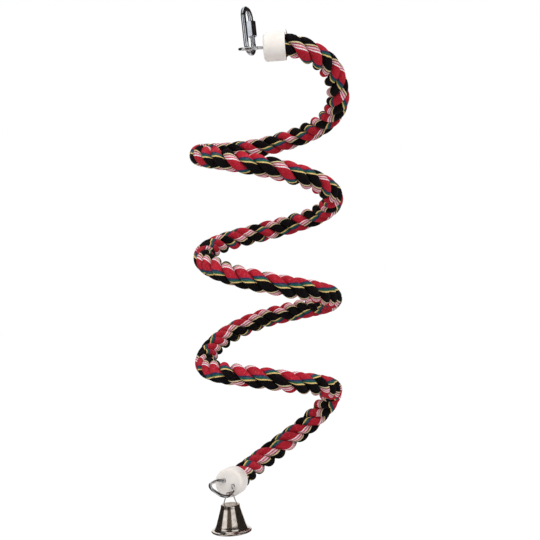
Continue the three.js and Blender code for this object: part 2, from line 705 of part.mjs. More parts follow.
const spiral = new THREE.Group();
spiral.position.copy(spiralOrigin);
spiral.add(coreWire(), rope());
for (const [name, end] of [['top', topEnd], ['bottom', bottomEnd]]) {
  spiral.add(cap(`${name}_cap`, end));
  spiral.add(crimpSleeve(`${name}_crimp_sleeve`, end));
  spiral.add(endTape(`${name}_end_tape`, end));
}
spiral.add(bell);

const climbingSpiral = new THREE.Group();
climbingSpiral.add(quickLink, spiral);

export default climbingSpiral;
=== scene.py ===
# A bird climbing spiral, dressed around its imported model: a laid cotton rope on a springy
# wire, plastic caps, a quick link and a bell. Metres, in the model's frame: +Z up, the
# origin inside the top bow of the quick link, the viewer towards -Y.
import json
import random
from math import acos, asin, atan2, cos, degrees, pi, radians, sin, tan, tau

import bpy
import numpy as np
from mathutils import Matrix, Vector


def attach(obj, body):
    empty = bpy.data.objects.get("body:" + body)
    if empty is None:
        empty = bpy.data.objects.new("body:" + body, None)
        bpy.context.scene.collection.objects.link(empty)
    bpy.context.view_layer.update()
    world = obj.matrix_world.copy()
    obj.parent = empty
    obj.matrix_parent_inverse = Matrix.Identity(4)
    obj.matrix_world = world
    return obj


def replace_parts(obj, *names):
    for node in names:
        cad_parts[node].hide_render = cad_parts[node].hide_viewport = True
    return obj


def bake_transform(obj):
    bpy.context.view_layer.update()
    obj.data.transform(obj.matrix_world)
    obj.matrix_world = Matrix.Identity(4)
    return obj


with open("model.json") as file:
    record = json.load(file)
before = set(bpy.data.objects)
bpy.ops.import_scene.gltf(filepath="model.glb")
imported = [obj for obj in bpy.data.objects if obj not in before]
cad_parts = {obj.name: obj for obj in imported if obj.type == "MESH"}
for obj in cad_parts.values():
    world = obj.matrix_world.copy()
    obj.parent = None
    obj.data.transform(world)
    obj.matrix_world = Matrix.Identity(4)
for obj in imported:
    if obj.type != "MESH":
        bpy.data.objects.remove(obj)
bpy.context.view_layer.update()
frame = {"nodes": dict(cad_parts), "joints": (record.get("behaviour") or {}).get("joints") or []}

# Camera and floor
FRAME_PIXELS = 540
FOCAL_PIXELS = 900
SENSOR = 36.0  # millimetres, as Blender's camera has it
CAMERA_PLACE = (0.0224, -0.8538, -0.2452)
CLIP_START = 0.01
FLOOR_HEIGHT = -0.75
FLOOR_SIZE = 12.0
FLOOR_GREY = 0.8
FLOOR_GLOW = 1.07
FLOOR_SHARE = 0.9  # of the glow, where the camera and the metal see the floor

# Light: softboxes with their place, size and watts, all aimed at one point of the coil
WORLD_LIGHT = 0.68
LAMP_TARGET = (0.02, 0.04, -0.25)
LAMPS = {
    "key": ((-0.85, -0.7, 1.0), (0.9, 0.9), 8),
    "fill": ((0.75, -1.0, 0.9), (0.8, 0.9), 9.5),
    "back": ((0.2, 1.2, 1.3), (1.2, 0.6), 3),
}

# Dark cards for the metal to mirror. Upright ones: degrees from the viewer's side, width, and
# the heights of both edges. Level ones: two opposite corners.
CARD_CENTRE = (0.02, 0.02)
CARDS = [
    (75, 1.0, -0.72, 1.6), (124, 0.74, -0.72, 1.6), (158, 0.5, -0.3, 0.5),
    (-98, 0.86, -0.72, 1.6), (-138, 0.5, -0.72, 1.6),
]
FRONT_CARD = (-15, 0.62, -0.72, 1.6)
FRONT_LIGHTNESS = 5.0
FELT_TONES = ((0.02, 0.015, 0.012), (0.03, 0.023, 0.018))
CARD_DISTANCE = 0.9
LOW_CARDS = [(3, 0.3, -0.74, -0.52), (102, 0.37, -0.74, -0.52), (-90, 0.4, -0.74, -0.52)]
LOW_CARD_DISTANCE = 0.35
CEILINGS = [
    ((-0.95, -0.95), (0.95, -0.42)), ((0.05, -0.42), (0.95, 0.4)), ((-0.95, -0.42), (-0.5, 0.4)),
]
CEILING_HEIGHT = 0.36
TABLE = ((-0.26, -0.3), (0.24, 0.2))
TABLE_HEIGHT = -0.745

# Dark rings round the bell, with a lit gap between them: radius in metres, the rest in degrees
WINDOW_RADIUS = 0.3
WINDOW_GAP = 6.5
WINDOW_REACH = 20
WINDOW_SWEEP = 110  # to each side of the viewer
WINDOW_STEPS = 24
VIEW_DOWN = 15.7  # the camera looks down on the bell
BELL_SLOPE = 17.2  # the bell's side from upright

# Clearance that the model leaves between pieces that touch on the real toy
GAP = 0.0003
SHORTEST_STEP = 0.00002  # between two points of a bent wire

# Quick link
LINK_WIRE = 0.0048
LINK_LENGTH = 0.0469
LINK_WIDTH = 0.0212
LINK_TURN = 66  # degrees from the viewer's plane
LINK_LEAN = 6
LINK_STUB = 0.0056
LINK_OPENING = 0.006
NUT_GRIP = 0.0034
NUT_LENGTH = 0.0146
NUT_FLATS = 0.0086
NUT_TURN = 24  # degrees, as it stands when closed
NUT_FACE = 0.96  # round face at each end of the nut, as a share of the flats
NUT_CHAMFER = 30  # degrees
NUT_COUNTERSINK = 0.0006
NUT_COLUMNS = 72
NUT_END_LEVELS = [0.0, 0.0002, 0.0004, 0.0007, 0.0012]
NUT_THREAD_DEPTH = 0.00015
NUT_THREAD_STEPS = 6  # mesh levels to each turn of thread
THREAD_PITCH = 0.0013
THREAD_DEPTH = 0.00042
THREAD_FLAT = 0.15  # crest and root, as shares of half a turn
THREAD_STEPS = 8
THREAD_BELOW_NUT = 0.0075
THREAD_FADE = 0.0012

# Steel wire and its eyes
CORE_WIRE = 0.003
EYE_LENGTH = 0.0226
EYE_FOOT = 0.0096
EYE_SHOULDER = 0.0065
EYE_SHOULDER_SPREAD = 0.0184
EYE_SHOULDER_BEND = 0.006
EYE_SPREAD = 0.022
EYE_CORNER = 0.0075
EYE_SEAT = 0.0133
CORE_PAIR = 0.0036
BELL_SEAT = 0.0146
LEG_BEND = 0.002
FOOT_BEND = 0.0015
FOOT_RISE = 0.0012
BEND_INSET = 0.0006
LEG_ROOM = 0.001
CORE_RUN = 0.0005

# Caps, sleeves and tape
CAP_LENGTH = 0.0206
CAP_WALL = 0.0015
CAP_ROUND = 0.003
CAP_FIT = 0.00035
CAP_RIM = 0.0005  # radius of the rim's edges
CAP_GROOVE = [(0.0026, 0), (0.0023, 0.00012), (0.0021, 0.00012), (0.0018, 0)]  # below the rim, deep
AXIS_HOLE = 0.0004  # radius at which turned profiles start
SLEEVE_LENGTH = 0.006
SLEEVE_DEPTH = 0.0086
TAPE_THICKNESS = 0.00045
TAPE_LENGTH = 0.010
# Pointed grey sheet shaped as a loose corner of tape, painted shade of the rim's inner side:
# (across, up), and how it stands at the rim of the top cap
TAPE_CORNER = [
    (-0.0026, 0.0098), (0.0012, 0.0098), (0.0006, 0.0128), (-0.0008, 0.0162), (-0.0021, 0.0128),
]
TAPE_CORNER_THICKNESS = 0.00008
TAPE_CORNER_AHEAD = 0.001
TAPE_CORNER_ACROSS = 0.004
TAPE_CORNER_LEAN = 0.25
TAPE_CORNER_TURN = 0.35

# Rope
ROPE_DIAMETER = 0.021
ROPE_TOP_DIAMETER = 0.0226
ROPE_BOTTOM_DIAMETER = 0.0218
ROPE_TAPED_DIAMETER = 0.0212
ROPE_DEPTH = 0.008
POCKET_DIAMETER = 0.0114
POCKET_LENGTH = 0.0076
ROPE_BORE_FIT = 0.0006
POCKET_TAPER = 0.25

# The rope's route, measured from the centre of the top cap's face
COIL_AXIS = (0.0036, 0.057)
COIL_RADIUS = 0.066
COIL_PITCH = 0.097
COIL_TURNS = 3
COIL_START = -0.038
COIL_STEPS = 24
SPAN_STEPS = 8  # points of the centreline from one station to the next
# How far the coil strays at each quarter turn from an even one: outwards, and up
COIL_SWAY = [
    0.001, 0.004, 0.001, 0.002, 0.003, -0.001, 0.0035, -0.002, 0.003, -0.002,
    0.003, -0.0035, -0.002, -0.002, -0.002,
]
COIL_SAG = [
    0.050, 0, -0.0125, -0.0065, -0.0025, -0.0035, -0.0065, -0.0105, -0.0125, -0.0055,
    -0.003, -0.019, -0.0045, -0.0005, -0.020,
]
LEAD = [
    (0.0396, -0.0006, -0.0029), (0.0516, 0.0075, -0.0073), (0.0616, 0.0195, -0.0128),
    (0.0689, 0.033, -0.021), (0.0726, 0.046, -0.0308),
]
TAIL = [
    (0.0641, 0.0715, -0.0133), (0.0531, 0.0805, -0.0288), (0.0386, 0.0805, -0.0425),
    (0.0251, 0.0745, -0.0513), (0.0121, 0.065, -0.0593), (0.0001, 0.054, -0.0663),
    (-0.0099, 0.0425, -0.0716), (-0.0174, 0.0295, -0.0748),
]
LEAD_STRAIGHT = 0.027
TAIL_STRAIGHT = 0.037
TOP_OUTWARD = (-0.995, 0.087, -0.052)
TOP_ACROSS = (0, 0.972, 0.227)
BOTTOM_FACE = (-0.0322, -0.021, -0.074)
BOTTOM_OUTWARD = (-0.223, -0.971, 0.087)
BOTTOM_ACROSS = (0.774, -0.428, -0.466)
BOTTOM_EYE_OUTWARD = (-0.439, -0.885, -0.155)

# Lay of the rope: three strands, right-handed, each of yarns that twist the other way
STRANDS = 3
LAY = 0.045  # one whole turn of a strand
LAY_START = 0.35  # turns, at the top end
LEAD_LAY = 0.042  # where the rope is bunched up below the top cap
LEAD_LAY_END = 0.13
STRAND_RADIAL = 0.232  # half thickness of a strand, as a share of the rope's diameter
STRAND_ACROSS = 0.282
STRAND_CENTRE = 0.268
STRAND_GAP = 0.00008  # between neighbouring strands, to each side
YARN_TWIST = -2  # turns of the yarns for one turn of their strand
YARN_DEPTH = 0.00034
YARN_CREST = 1.5  # higher is rounder
YARN_UNEVEN = 0.3  # by how much a yarn's depth differs from the mean, as a share
UNEVEN_STEP = 7.0  # radians of that change from yarn to yarn
YARN_COLUMNS = 4  # mesh columns on each yarn
ROPE_STEP = 0.00225
# Slow irregular changes along the rope: size, and the lengths over which they repeat
LAY_WANDER = (0.008, (0.11, 0.23, 0.41))
SWELL_WANDER = (0.02, (0.05, 0.12, 0.19))
SWELL_SEED = 20
# Turns by which the lay runs ahead of an even one: distance along the rope, and turns
LAY_SHIFT = [
    (0.2, 0.0), (0.38, -0.23), (0.55, -0.23), (0.8, -0.49), (0.96, -0.49), (1.2, -0.23),
    (1.36, -0.23), (1.47, 0.25),
]
# Turns of the yarn colours from strand to strand; the third strand's change along the rope
STRAND_PHASES = [
    [(0.0, 0.0)],
    [(0.0, 0.06)],
    [(0.76, 0.5), (0.82, 0.9), (1.17, 0.9), (1.24, 0.75), (1.6, 0.8)],
]
# How far the yarns' colours are rolled round each strand: distance along the rope, and turns
COLOUR_ROLL = [
    (0.0, 0.58), (0.05, 0.55), (0.08, 0.43), (0.13, 0.25), (0.179, 0.03), (0.212, -0.03),
    (0.256, -0.05), (0.373, 0.0), (0.481, -0.05), (0.527, -0.1), (0.612, -0.1), (0.653, -0.2),
    (0.686, -0.4), (0.718, -0.5), (0.758, -0.63), (0.843, -0.78), (0.872, -0.9), (0.901, -0.97),
    (0.938, -1.03), (1.013, -1.1), (1.07, -1.18), (1.138, -1.2), (1.184, -1.4), (1.228, -1.7),
    (1.261, -1.88), (1.286, -1.92), (1.347, -2.0), (1.37, -2.12), (1.416, -2.4), (1.441, -2.58),
    (1.462, -2.5), (1.495, -2.38), (1.53, -2.28), (1.6, -2.25),
]
# Loose ends of yarn: distance along the rope, then points (ahead, up, towards the viewer)
LOOSE_YARN = 0.0004
LOOSE_ENDS = [
    (0.4115, [(-0.001, 0.009, 0.003), (0.0005, 0.0104, 0.0035), (0.003, 0.0118, 0.004),
              (0.0052, 0.0128, 0.0046), (0.0066, 0.0146, 0.005)]),
    (0.4145, [(0.0, 0.009, 0.005), (0.0002, 0.0106, 0.0056), (-0.0003, 0.0116, 0.006)]),
]

# Bell
BELL_TOP = 0.0172
BELL_WAIST = 0.0296
BELL_MOUTH = 0.0366
BELL_HEIGHT = 0.0242
BELL_WALL = 0.0012
BELL_LIP = 0.0034
BELL_SHOULDER = 0.0008
# The side: shares of its height and of its widening. The flare below it: outwards and down.
BELL_SIDE = [(0.0, 0.0), (0.06, 0.012), (0.16, 0.09), (0.5, 0.43), (0.86, 0.79), (1.0, 1.0)]
BELL_SIDE_STEPS = 12
BELL_FILLET = [
    (0.0, 0.0003), (0.0003, 0.0007), (0.0008, 0.0011), (0.0015, 0.0014), (0.0023, 0.0016),
]
BELL_BEAD = 0.0009
BELL_EDGE = 0.0008  # from the widest part of the bead to its flat
BELL_INNER_EDGE = 0.0021
BELL_INNER_STEP = 0.0002
BELL_INNER_FLARE = 0.6  # share of the lip's height at which the inside starts to flare
BELL_TILT = 3.4
BAIL_WIRE = 0.001
BAIL_HEIGHT = 0.0102
BAIL_FEET = 0.012
BAIL_SPREAD = 0.0048
BAIL_CORNER = 0.002
BAIL_SHOULDER = 0.0012
BAIL_SHOULDER_BEND = 0.002
BAIL_FOLD = 0.0028  # the short end, folded under the bell's top
BAIL_FOLD_BEND = 0.0012
BAR_DEPTH = 0.0046
BAR_BEND = 0.0014
BAR_SHORT = 0.0016  # from the bar's end to the far foot
WRAP_WIRE = 0.0007
WRAP_OFFSET = 0.0018  # along the wire, from the bail
WRAP_TURNS = 2
WRAP_STEPS = 24
WRAP_LAY = 1.15  # from turn to turn, in thicknesses of its wire
WRAP_GAP = 0.00005
CLAPPER_WIRE = 0.0012
CLAPPER_LOOP = 0.0024
CLAPPER_LOOP_START = -58  # degrees
CLAPPER_LOOP_SWEEP = 318
CLAPPER_LOOP_STEPS = 36
CLAPPER_NECK = 0.0016
CLAPPER_BALL = 0.007
CLAPPER_DROP = 0.0144
CLAPPER_BORE = 0.0045

Z = Vector((0, 0, 1))


# Meshes

def smooth(mesh, sharp):
    mesh.shade_smooth()
    if sharp:
        mesh.set_sharp_from_angle(angle=radians(sharp))


def mesh_piece(name, vertices, faces, material, sharp=None):
    """A named object from vertices and faces, shaded smooth, with edges over sharp degrees hard."""
    mesh = bpy.data.meshes.new(name)
    mesh.from_pydata([tuple(v) for v in vertices], [], faces)
    mesh.update()
    smooth(mesh, sharp)
    mesh.materials.append(material)
    piece = bpy.data.objects.new(name, mesh)
    bpy.context.scene.collection.objects.link(piece)
    return piece


def closed_faces(rings, columns, looped=False):
    """Quads between successive rings, and flat ends or a loop back to the first ring."""
    faces = []
    for i in range(rings - 1):
        for k in range(columns):
            a = i * columns + k
            b = i * columns + (k + 1) % columns
            faces.append((a, b, b + columns, a + columns))
    last = (rings - 1) * columns
    if looped:
        pairs = [(k, (k + 1) % columns) for k in range(columns)]
        return faces + [(last + k, last + n, n, k) for k, n in pairs]
    return faces + [tuple(reversed(range(columns))), tuple(range(last, last + columns))]


def skin(name, rings, material, sharp=None, looped=False):
    """One closed surface over rings of points: with flat ends, or looped back to the first ring."""
    columns = len(rings[0])
    vertices = [p for ring in rings for p in ring]
    faces = closed_faces(len(rings), columns, looped)
    return mesh_piece(name, vertices, faces, material, sharp)


def lathe(name, profile, columns, material, place, sharp=None, looped=False):
    """A profile of (radius, height) turned about local Z, then set in place by a matrix."""
    angles = [tau * k / columns for k in range(columns)]
    rings = [[place @ Vector((radius * cos(a), radius * sin(a), height)) for a in angles]
             for radius, height in profile]
    return skin(name, rings, material, sharp, looped)


def arc(centre, radius, start, end, steps):
    """Points of a circular arc in a profile, from start to end degrees."""
    points = []
    for k in range(steps + 1):
        angle = radians(start + (end - start) * k / steps)
        points.append((centre[0] + radius * cos(angle), centre[1] + radius * sin(angle)))
    return points


def drill(piece, places, radius, depth):
    """Cuts round holes through a piece. Each place is (middle, direction)."""
    for middle, direction in places:
        turn = Z.rotation_difference(direction).to_matrix().to_4x4()
        place = Matrix.Translation(middle) @ turn
        rod = [(radius, -depth / 2), (radius, depth / 2)]
        tool = lathe("drill", rod, 32, piece.data.materials[0], place)
        cut = piece.modifiers.new("hole", "BOOLEAN")
        cut.object = tool
        cut.operation = "DIFFERENCE"
        cut.solver = "EXACT"
        apply_modifiers(piece)
        bpy.data.objects.remove(tool)


def apply_modifiers(piece):
    """Makes what the modifiers do part of the mesh."""
    evaluated = piece.evaluated_get(bpy.context.evaluated_depsgraph_get())
    mesh = bpy.data.meshes.new_from_object(evaluated)
    piece.modifiers.clear()
    piece.data = mesh


# Paths and tubes

def bent_path(corners, bend_step=6):
    """A path through corners, each (point, bend radius), with a point every few degrees."""
    path = [corners[0][0].copy()]
    for i in range(1, len(corners) - 1):
        corner, radius = corners[i]
        back = (corners[i - 1][0] - corner).normalized()
        ahead = (corners[i + 1][0] - corner).normalized()
        half = back.angle(ahead) / 2
        turn = pi - 2 * half
        steps = max(1, round(degrees(turn) / bend_step))
        middle = corner + (back + ahead).normalized() * (radius / sin(half))
        start = corner + back * (radius / tan(half)) - middle
        axis = ahead.cross(back).normalized()
        for step in range(steps + 1):
            path.append(middle + Matrix.Rotation(turn * step / steps, 3, axis) @ start)
    path.append(corners[-1][0].copy())
    return [p for i, p in enumerate(path) if i == 0 or (p - path[i - 1]).length > SHORTEST_STEP]


def carried_frames(path):
    """Tangent and two side directions at each point, with as little twist as can be."""
    frames = []
    side = None
    for i, point in enumerate(path):
        before = path[max(i - 1, 0)]
        after = path[min(i + 1, len(path) - 1)]
        ahead = (after - before).normalized()
        if side is None:
            side = ahead.orthogonal()
        side = (side - ahead * side.dot(ahead)).normalized()
        frames.append((point, side, ahead.cross(side)))
    return frames


def tube(name, path, radius, material, columns=20, sharp=None):
    """A tube along a path. radius is a number, or a function of (distance, turn) along it."""
    rings = []
    along = 0.0
    last = path[0]
    for point, side, up in carried_frames(path):
        along += (point - last).length
        last = point
        ring = []
        for k in range(columns):
            turn = k / columns
            r = radius(along, turn) if callable(radius) else radius
            angle = tau * turn
            ring.append(point + side * (r * cos(angle)) + up * (r * sin(angle)))
        rings.append(ring)
    return skin(name, rings, material, sharp)


def mixed(a, b, start, end, t):
    """From a to b, as t goes from start to end."""
    return (end - t) / (end - start) * a + (t - start) / (end - start) * b


def smooth_path(points, per_span=SPAN_STEPS):
    """A smooth curve through points, which may be unevenly spaced (centripetal Catmull-Rom)."""
    p = np.array([tuple(v) for v in points], float)
    p = np.vstack([2 * p[0] - p[1], p, 2 * p[-1] - p[-2]])
    curve = []
    for i in range(1, len(p) - 2):
        a, b, c, d = p[i - 1:i + 3]
        t0 = 0.0
        t1 = t0 + np.linalg.norm(b - a) ** 0.5
        t2 = t1 + np.linalg.norm(c - b) ** 0.5
        t3 = t2 + np.linalg.norm(d - c) ** 0.5
        for t in np.linspace(t1, t2, per_span, endpoint=False):
            ab, bc, cd = mixed(a, b, t0, t1, t), mixed(b, c, t1, t2, t), mixed(c, d, t2, t3, t)
            abc, bcd = mixed(ab, bc, t0, t2, t), mixed(bc, cd, t1, t3, t)
            curve.append(mixed(abc, bcd, t1, t2, t))
    curve.append(p[-2])
    return np.array(curve)


# Materials

class Nodes:
    """The node tree of a material or a world, under construction."""

    def __init__(self, owner):
        owner.use_nodes = True
        self.tree = owner.node_tree

    def feed(self, socket, value):
        """Joins a node's output to a socket, or sets the socket to a value."""
        if isinstance(value, bpy.types.NodeSocket):
            self.tree.links.new(value, socket)
        else:
            socket.default_value = value

    def add(self, kind, **values):
        """A new node. Names with a capital are its sockets, and the rest its settings."""
        node = self.tree.nodes.new(kind)
        for name, value in values.items():
            if name[0].isupper():
                self.feed(node.inputs[name.replace("_", " ")], value)
            else:
                setattr(node, name, value)
        return node

    def combine(self, a, b, operation="ADD"):
        node = self.add("ShaderNodeMath", operation=operation)
        self.feed(node.inputs[0], a)
        self.feed(node.inputs[1], b)
        return node.outputs["Value"]

    def remap(self, factor, low, high, start=0.3, end=0.7):
        """Low to high, as the factor goes from start to end."""
        limits = {"From_Min": start, "From_Max": end, "To_Min": low, "To_Max": high}
        return self.add("ShaderNodeMapRange", Value=factor, **limits).outputs["Result"]


class Finish(Nodes):
    """A material of one shader, with the few nodes that the finishes here share."""

    def __init__(self, name, **sockets):
        self.material = bpy.data.materials.new(name)
        super().__init__(self.material)
        self.shader = self.tree.nodes["Principled BSDF"]
        self.set(**sockets)
        self.coordinates = self.add("ShaderNodeTexCoord").outputs["Object"]

    def set(self, **sockets):
        """Feeds sockets of the shader."""
        for name, value in sockets.items():
            self.feed(self.shader.inputs[name.replace("_", " ")], value)

    def noise(self, scale, detail=4.0, roughness=0.6, stretch=None):
        source = self.coordinates
        if stretch:
            source = self.add("ShaderNodeMapping", Scale=stretch, Vector=source).outputs["Vector"]
        settings = {"Scale": scale, "Detail": detail, "Roughness": roughness}
        return self.add("ShaderNodeTexNoise", Vector=source, **settings).outputs["Fac"]

    def ramp(self, factor, stops, interpolation="LINEAR"):
        node = self.add("ShaderNodeValToRGB", Fac=factor)
        node.color_ramp.interpolation = interpolation
        elements = node.color_ramp.elements
        while len(elements) < len(stops):
            elements.new(0.5)
        for element, (position, colour) in zip(elements, stops):
            element.position = position
            element.color = (*colour, 1)
        return node.outputs["Color"]

    def mottled(self, scale, detail, dark, light, start=0.3):
        """A colour that drifts between two tones."""
        tones = [(start, dark), (0.7, light)]
        self.set(Base_Color=self.ramp(self.noise(scale, detail), tones))

    def glossy(self, scale, detail, low, high):
        """A gloss that drifts between two roughnesses."""
        self.set(Roughness=self.remap(self.noise(scale, detail), low, high))

    def bump(self, height, strength, distance):
        node = self.add("ShaderNodeBump", Height=height, Strength=strength, Distance=distance)
        self.set(Normal=node.outputs["Normal"])


def linear(red, green, blue):
    """A colour given as it shows on screen, 0 to 255, in the linear values that nodes take."""
    def channel(value):
        v = value / 255
        return v / 12.92 if v <= 0.04045 else ((v + 0.055) / 1.055) ** 2.4
    return channel(red), channel(green), channel(blue)


def plated(name, dull, bright, roughness, grain):
    """Plated metal: cloudy in colour and gloss, with fine drawn marks and small pits."""
    finish = Finish(name, Metallic=1.0)
    finish.mottled(180, 5, dull, bright)
    finish.glossy(420, 6, roughness * 0.6, roughness * 1.5)
    marks = finish.noise(900, 3, 0.7, stretch=(1, 1, 0.15))
    pits = finish.noise(2600, 2)
    finish.bump(finish.combine(marks, pits), grain, 0.00004)
    return finish.material


def cap_plastic():
    """Satin moulded plastic, off-white, faintly mottled and a little see-through at depth."""
    finish = Finish("cap_plastic", Subsurface_Weight=0.15, Subsurface_Scale=0.003)
    finish.set(Subsurface_Radius=(1.0, 0.8, 0.7))
    finish.mottled(95, 4, linear(238, 229, 222), linear(247, 240, 234))
    finish.glossy(600, 5, 0.32, 0.5)
    finish.bump(finish.combine(finish.noise(1400, 3), finish.noise(150, 2)), 0.12, 0.0001)
    return finish.material


def clear_tape(name, creased, flat):
    """Clear packing tape with creases. It takes the tone of what lies behind it."""
    finish = Finish(name, IOR=1.48)
    finish.mottled(240, 4, creased, flat, start=0.35)
    finish.glossy(700, 4, 0.15, 0.4)
    finish.bump(finish.noise(500, 5, 0.5, stretch=(1, 1, 0.3)), 0.5, 0.0002)
    return finish.material


def dark_felt(name, lightness):
    """Mottled felt for the cards."""
    finish = Finish(name, Roughness=1.0)
    finish.mottled(40, 4, *([lightness * c for c in tone] for tone in FELT_TONES))
    return finish.material


# The yarns round a strand, in order: how many of each colour, and the colour on screen
YARNS = [
    (8, (186, 32, 50)),  # red
    (1, (48, 48, 86)),  # navy
    (1, (30, 82, 96)),  # teal
    (1, (36, 106, 74)),  # green
    (1, (246, 208, 136)),  # ochre
    (9, (13, 10, 13)),  # black
    (1, (226, 214, 168)),  # cream
    (1, (160, 70, 84)),  # wine
    (1, (238, 206, 212)),  # blush
    (1, (214, 100, 120)),  # pink
    (1, (255, 242, 246)),  # white
]
YARN_COUNT = sum(count for count, _ in YARNS)
# Pale coral of loose fibres, also laid on the tops of the dyed yarns as a painted highlight of light
# from above
FIBRE_AND_HIGHLIGHT = linear(150, 96, 96)


def dyed_yarns(finish, share, fleck):
    """The yarns' own colours, flecked, and paler and darker along the rope."""
    stops = []
    passed = 0
    for count, colour in YARNS:
        stops.append((passed / YARN_COUNT, linear(*colour)))
        passed += count
    fade = finish.remap(finish.noise(60, 3), 0.88, 1.12)
    light = finish.combine(finish.remap(fleck, 0.55, 1.35), fade, "MULTIPLY")
    tint = finish.add("ShaderNodeMix", data_type="RGBA", blend_type="MULTIPLY", Factor=1.0,
                      A=finish.ramp(share, stops, "CONSTANT"), B=light)
    return tint.outputs["Result"]


def fibres_and_painted_highlight(finish, share, colour):
    """Paler fibres stand out in places, few on the black and pale yarns; most on top, where the
    paleness is a painted highlight of light from above.
    """
    tufts = finish.remap(finish.noise(480, 5, 0.75), 0.0, 1.0, 0.5, 0.74)
    facing = finish.add("ShaderNodeNewGeometry").outputs["Normal"]
    height = finish.add("ShaderNodeSeparateXYZ", Vector=facing).outputs["Z"]
    # Painted highlight: surfaces that face up get more of the pale colour, as if lit from above
    painted_top_light = finish.remap(height, 0.25, 1.0, -0.2, 0.9)
    dyed = finish.remap(share, 1.0, 0.12, 0.36, 0.46)
    fibre_and_highlight_share = finish.combine(finish.combine(tufts, painted_top_light, "MULTIPLY"), dyed, "MULTIPLY")
    fibre_and_highlight_tint = finish.add("ShaderNodeMix", data_type="RGBA", blend_type="SCREEN", Factor=fibre_and_highlight_share,
                      A=colour, B=(*FIBRE_AND_HIGHLIGHT, 1))
    return fibre_and_highlight_tint.outputs["Result"]


def rope_cotton():
    """Dyed cotton: each yarn its own colour, flecked and ply-twisted, with a soft bloom and a
    painted highlight on top.
    """
    finish = Finish("rope_cotton", Sheen_Weight=0.02, Sheen_Roughness=0.5, Specular_IOR_Level=0.12)
    places = finish.add("ShaderNodeUVMap", uv_map="yarn").outputs["UV"]
    split = finish.add("ShaderNodeSeparateXYZ", Vector=places).outputs
    along, across = split["X"], split["Y"]
    share = finish.combine(across, YARN_COUNT, "DIVIDE")
    fleck = finish.noise(1500, 4, 0.7)
    finish.set(Base_Color=fibres_and_painted_highlight(finish, share, dyed_yarns(finish, share, fleck)),
               Roughness=finish.remap(fleck, 0.75, 0.95))
    # Ply twist: slanted ridges, a few to each millimetre of yarn.
    slant = finish.combine(finish.combine(along, 5.0, "MULTIPLY"), across)
    wave = finish.combine(finish.combine(slant, tau, "MULTIPLY"), 0.0, "SINE")
    fuzz = finish.noise(5200, 3)
    finish.bump(finish.combine(finish.remap(wave, 0, 0.5, -1, 1), fuzz), 0.55, 0.00025)
    return finish.material


def loose_thread():
    """Dark cotton of a single loose yarn."""
    finish = Finish("loose_yarn", Sheen_Weight=0.05, Specular_IOR_Level=0.12)
    finish.mottled(2400, 3, linear(14, 12, 16), linear(58, 44, 46), start=0.35)
    finish.glossy(1500, 3, 0.8, 0.95)
    finish.bump(finish.noise(5200, 3), 0.4, 0.0001)
    return finish.material


ZINC = plated("zinc_plate", linear(186, 190, 198), linear(216, 220, 228), 0.12, 0.04)
STEEL = plated("spring_wire", linear(196, 197, 199), linear(226, 227, 229), 0.12, 0.03)
NICKEL = plated("nickel_plate", linear(214, 202, 192), linear(236, 228, 220), 0.16, 0.012)
SLEEVE = plated("sleeve_metal", linear(160, 162, 165), linear(198, 200, 202), 0.4, 0.6)
PLASTIC = cap_plastic()
TAPE = clear_tape("end_tape", linear(196, 190, 176), linear(226, 222, 210))
# The corner at the top cap's rim gets a darker grey copy of the tape: painted shade of the rim's
# inner side
TAPE_CORNER_SHADE = clear_tape("grey_sheet_painted_shade", linear(128, 124, 118), linear(158, 154, 148))
COTTON = rope_cotton()
THREAD = loose_thread()


# Quick link

leg_offset = (LINK_WIDTH - LINK_WIRE) / 2
link_top = LINK_WIRE / 2
link_bottom = link_top - (LINK_LENGTH - LINK_WIRE)
stub_end = link_top - leg_offset - LINK_STUB
nut_top = stub_end + NUT_GRIP
nut_bottom = nut_top - NUT_LENGTH
LINK_PLACE = (Matrix.Rotation(-radians(LINK_LEAN), 4, "Y")
              @ Matrix.Rotation(radians(LINK_TURN), 4, "Z"))


def thread_wave(phase):
    """Ridge height from 0 to 1 round one turn of a thread, with flat crests and roots."""
    triangle = abs((phase % 1.0) * 2 - 1)
    return min(1.0, max(0.0, (triangle - THREAD_FLAT) / (1 - 2 * THREAD_FLAT)))


def straight(a, b, step):
    """Points from a to just before b."""
    count = max(1, round((b - a).length / step))
    return [a.lerp(b, k / count) for k in range(count)]


def quick_link():
    """The bent wire, with a thread on its two ends."""
    half = LINK_WIRE / 2

    def on_leg(height, side=1):
        return Vector((side * leg_offset, 0, height))

    lower_end = on_leg(stub_end - LINK_OPENING)
    thread_end = on_leg(nut_bottom - THREAD_BELOW_NUT)
    stub_tip = on_leg(stub_end)
    bows = bent_path([
        (thread_end, 0),
        (on_leg(link_bottom), leg_offset),
        (on_leg(link_bottom, -1), leg_offset),
        (on_leg(link_top, -1), leg_offset),
        (on_leg(link_top), leg_offset),
        (on_leg(link_top - leg_offset - THREAD_FADE), 0),
    ], bend_step=5)
    step = THREAD_PITCH / THREAD_STEPS
    lower = straight(lower_end, thread_end, step)
    upper = straight(bows[-1], stub_tip, step) + [stub_tip]
    path = [LINK_PLACE @ p for p in lower + bows + upper[1:]]
    lengths = [0.0]
    for a, b in zip(path, path[1:]):
        lengths.append(lengths[-1] + (b - a).length)
    total = lengths[-1]
    lower_length = (lower_end - thread_end).length
    upper_length = (bows[-1] - stub_tip).length

    def radius(along, turn):
        from_tip = min(along, total - along)
        reach = lower_length if along < total / 2 else upper_length
        if from_tip > reach:
            return half
        fade = min(1.0, (reach - from_tip) / THREAD_FADE)
        tip = max(0.0, 1 - from_tip / THREAD_DEPTH)
        cut = THREAD_DEPTH * fade * (1 - thread_wave(along / THREAD_PITCH - turn))
        return half - max(cut, THREAD_DEPTH * tip)

    piece = tube("link_body", path, radius, ZINC, columns=36, sharp=50)
    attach(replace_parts(piece, "quick_link_body"), "link")


def hexagon(turn, flats):
    """Distance from the axis to a hexagon's side, with a corner at turn 0."""
    sixth = pi / 3
    angle = (tau * turn + sixth / 2) % sixth - sixth / 2
    return flats / 2 / cos(sixth / 2 - abs(angle))


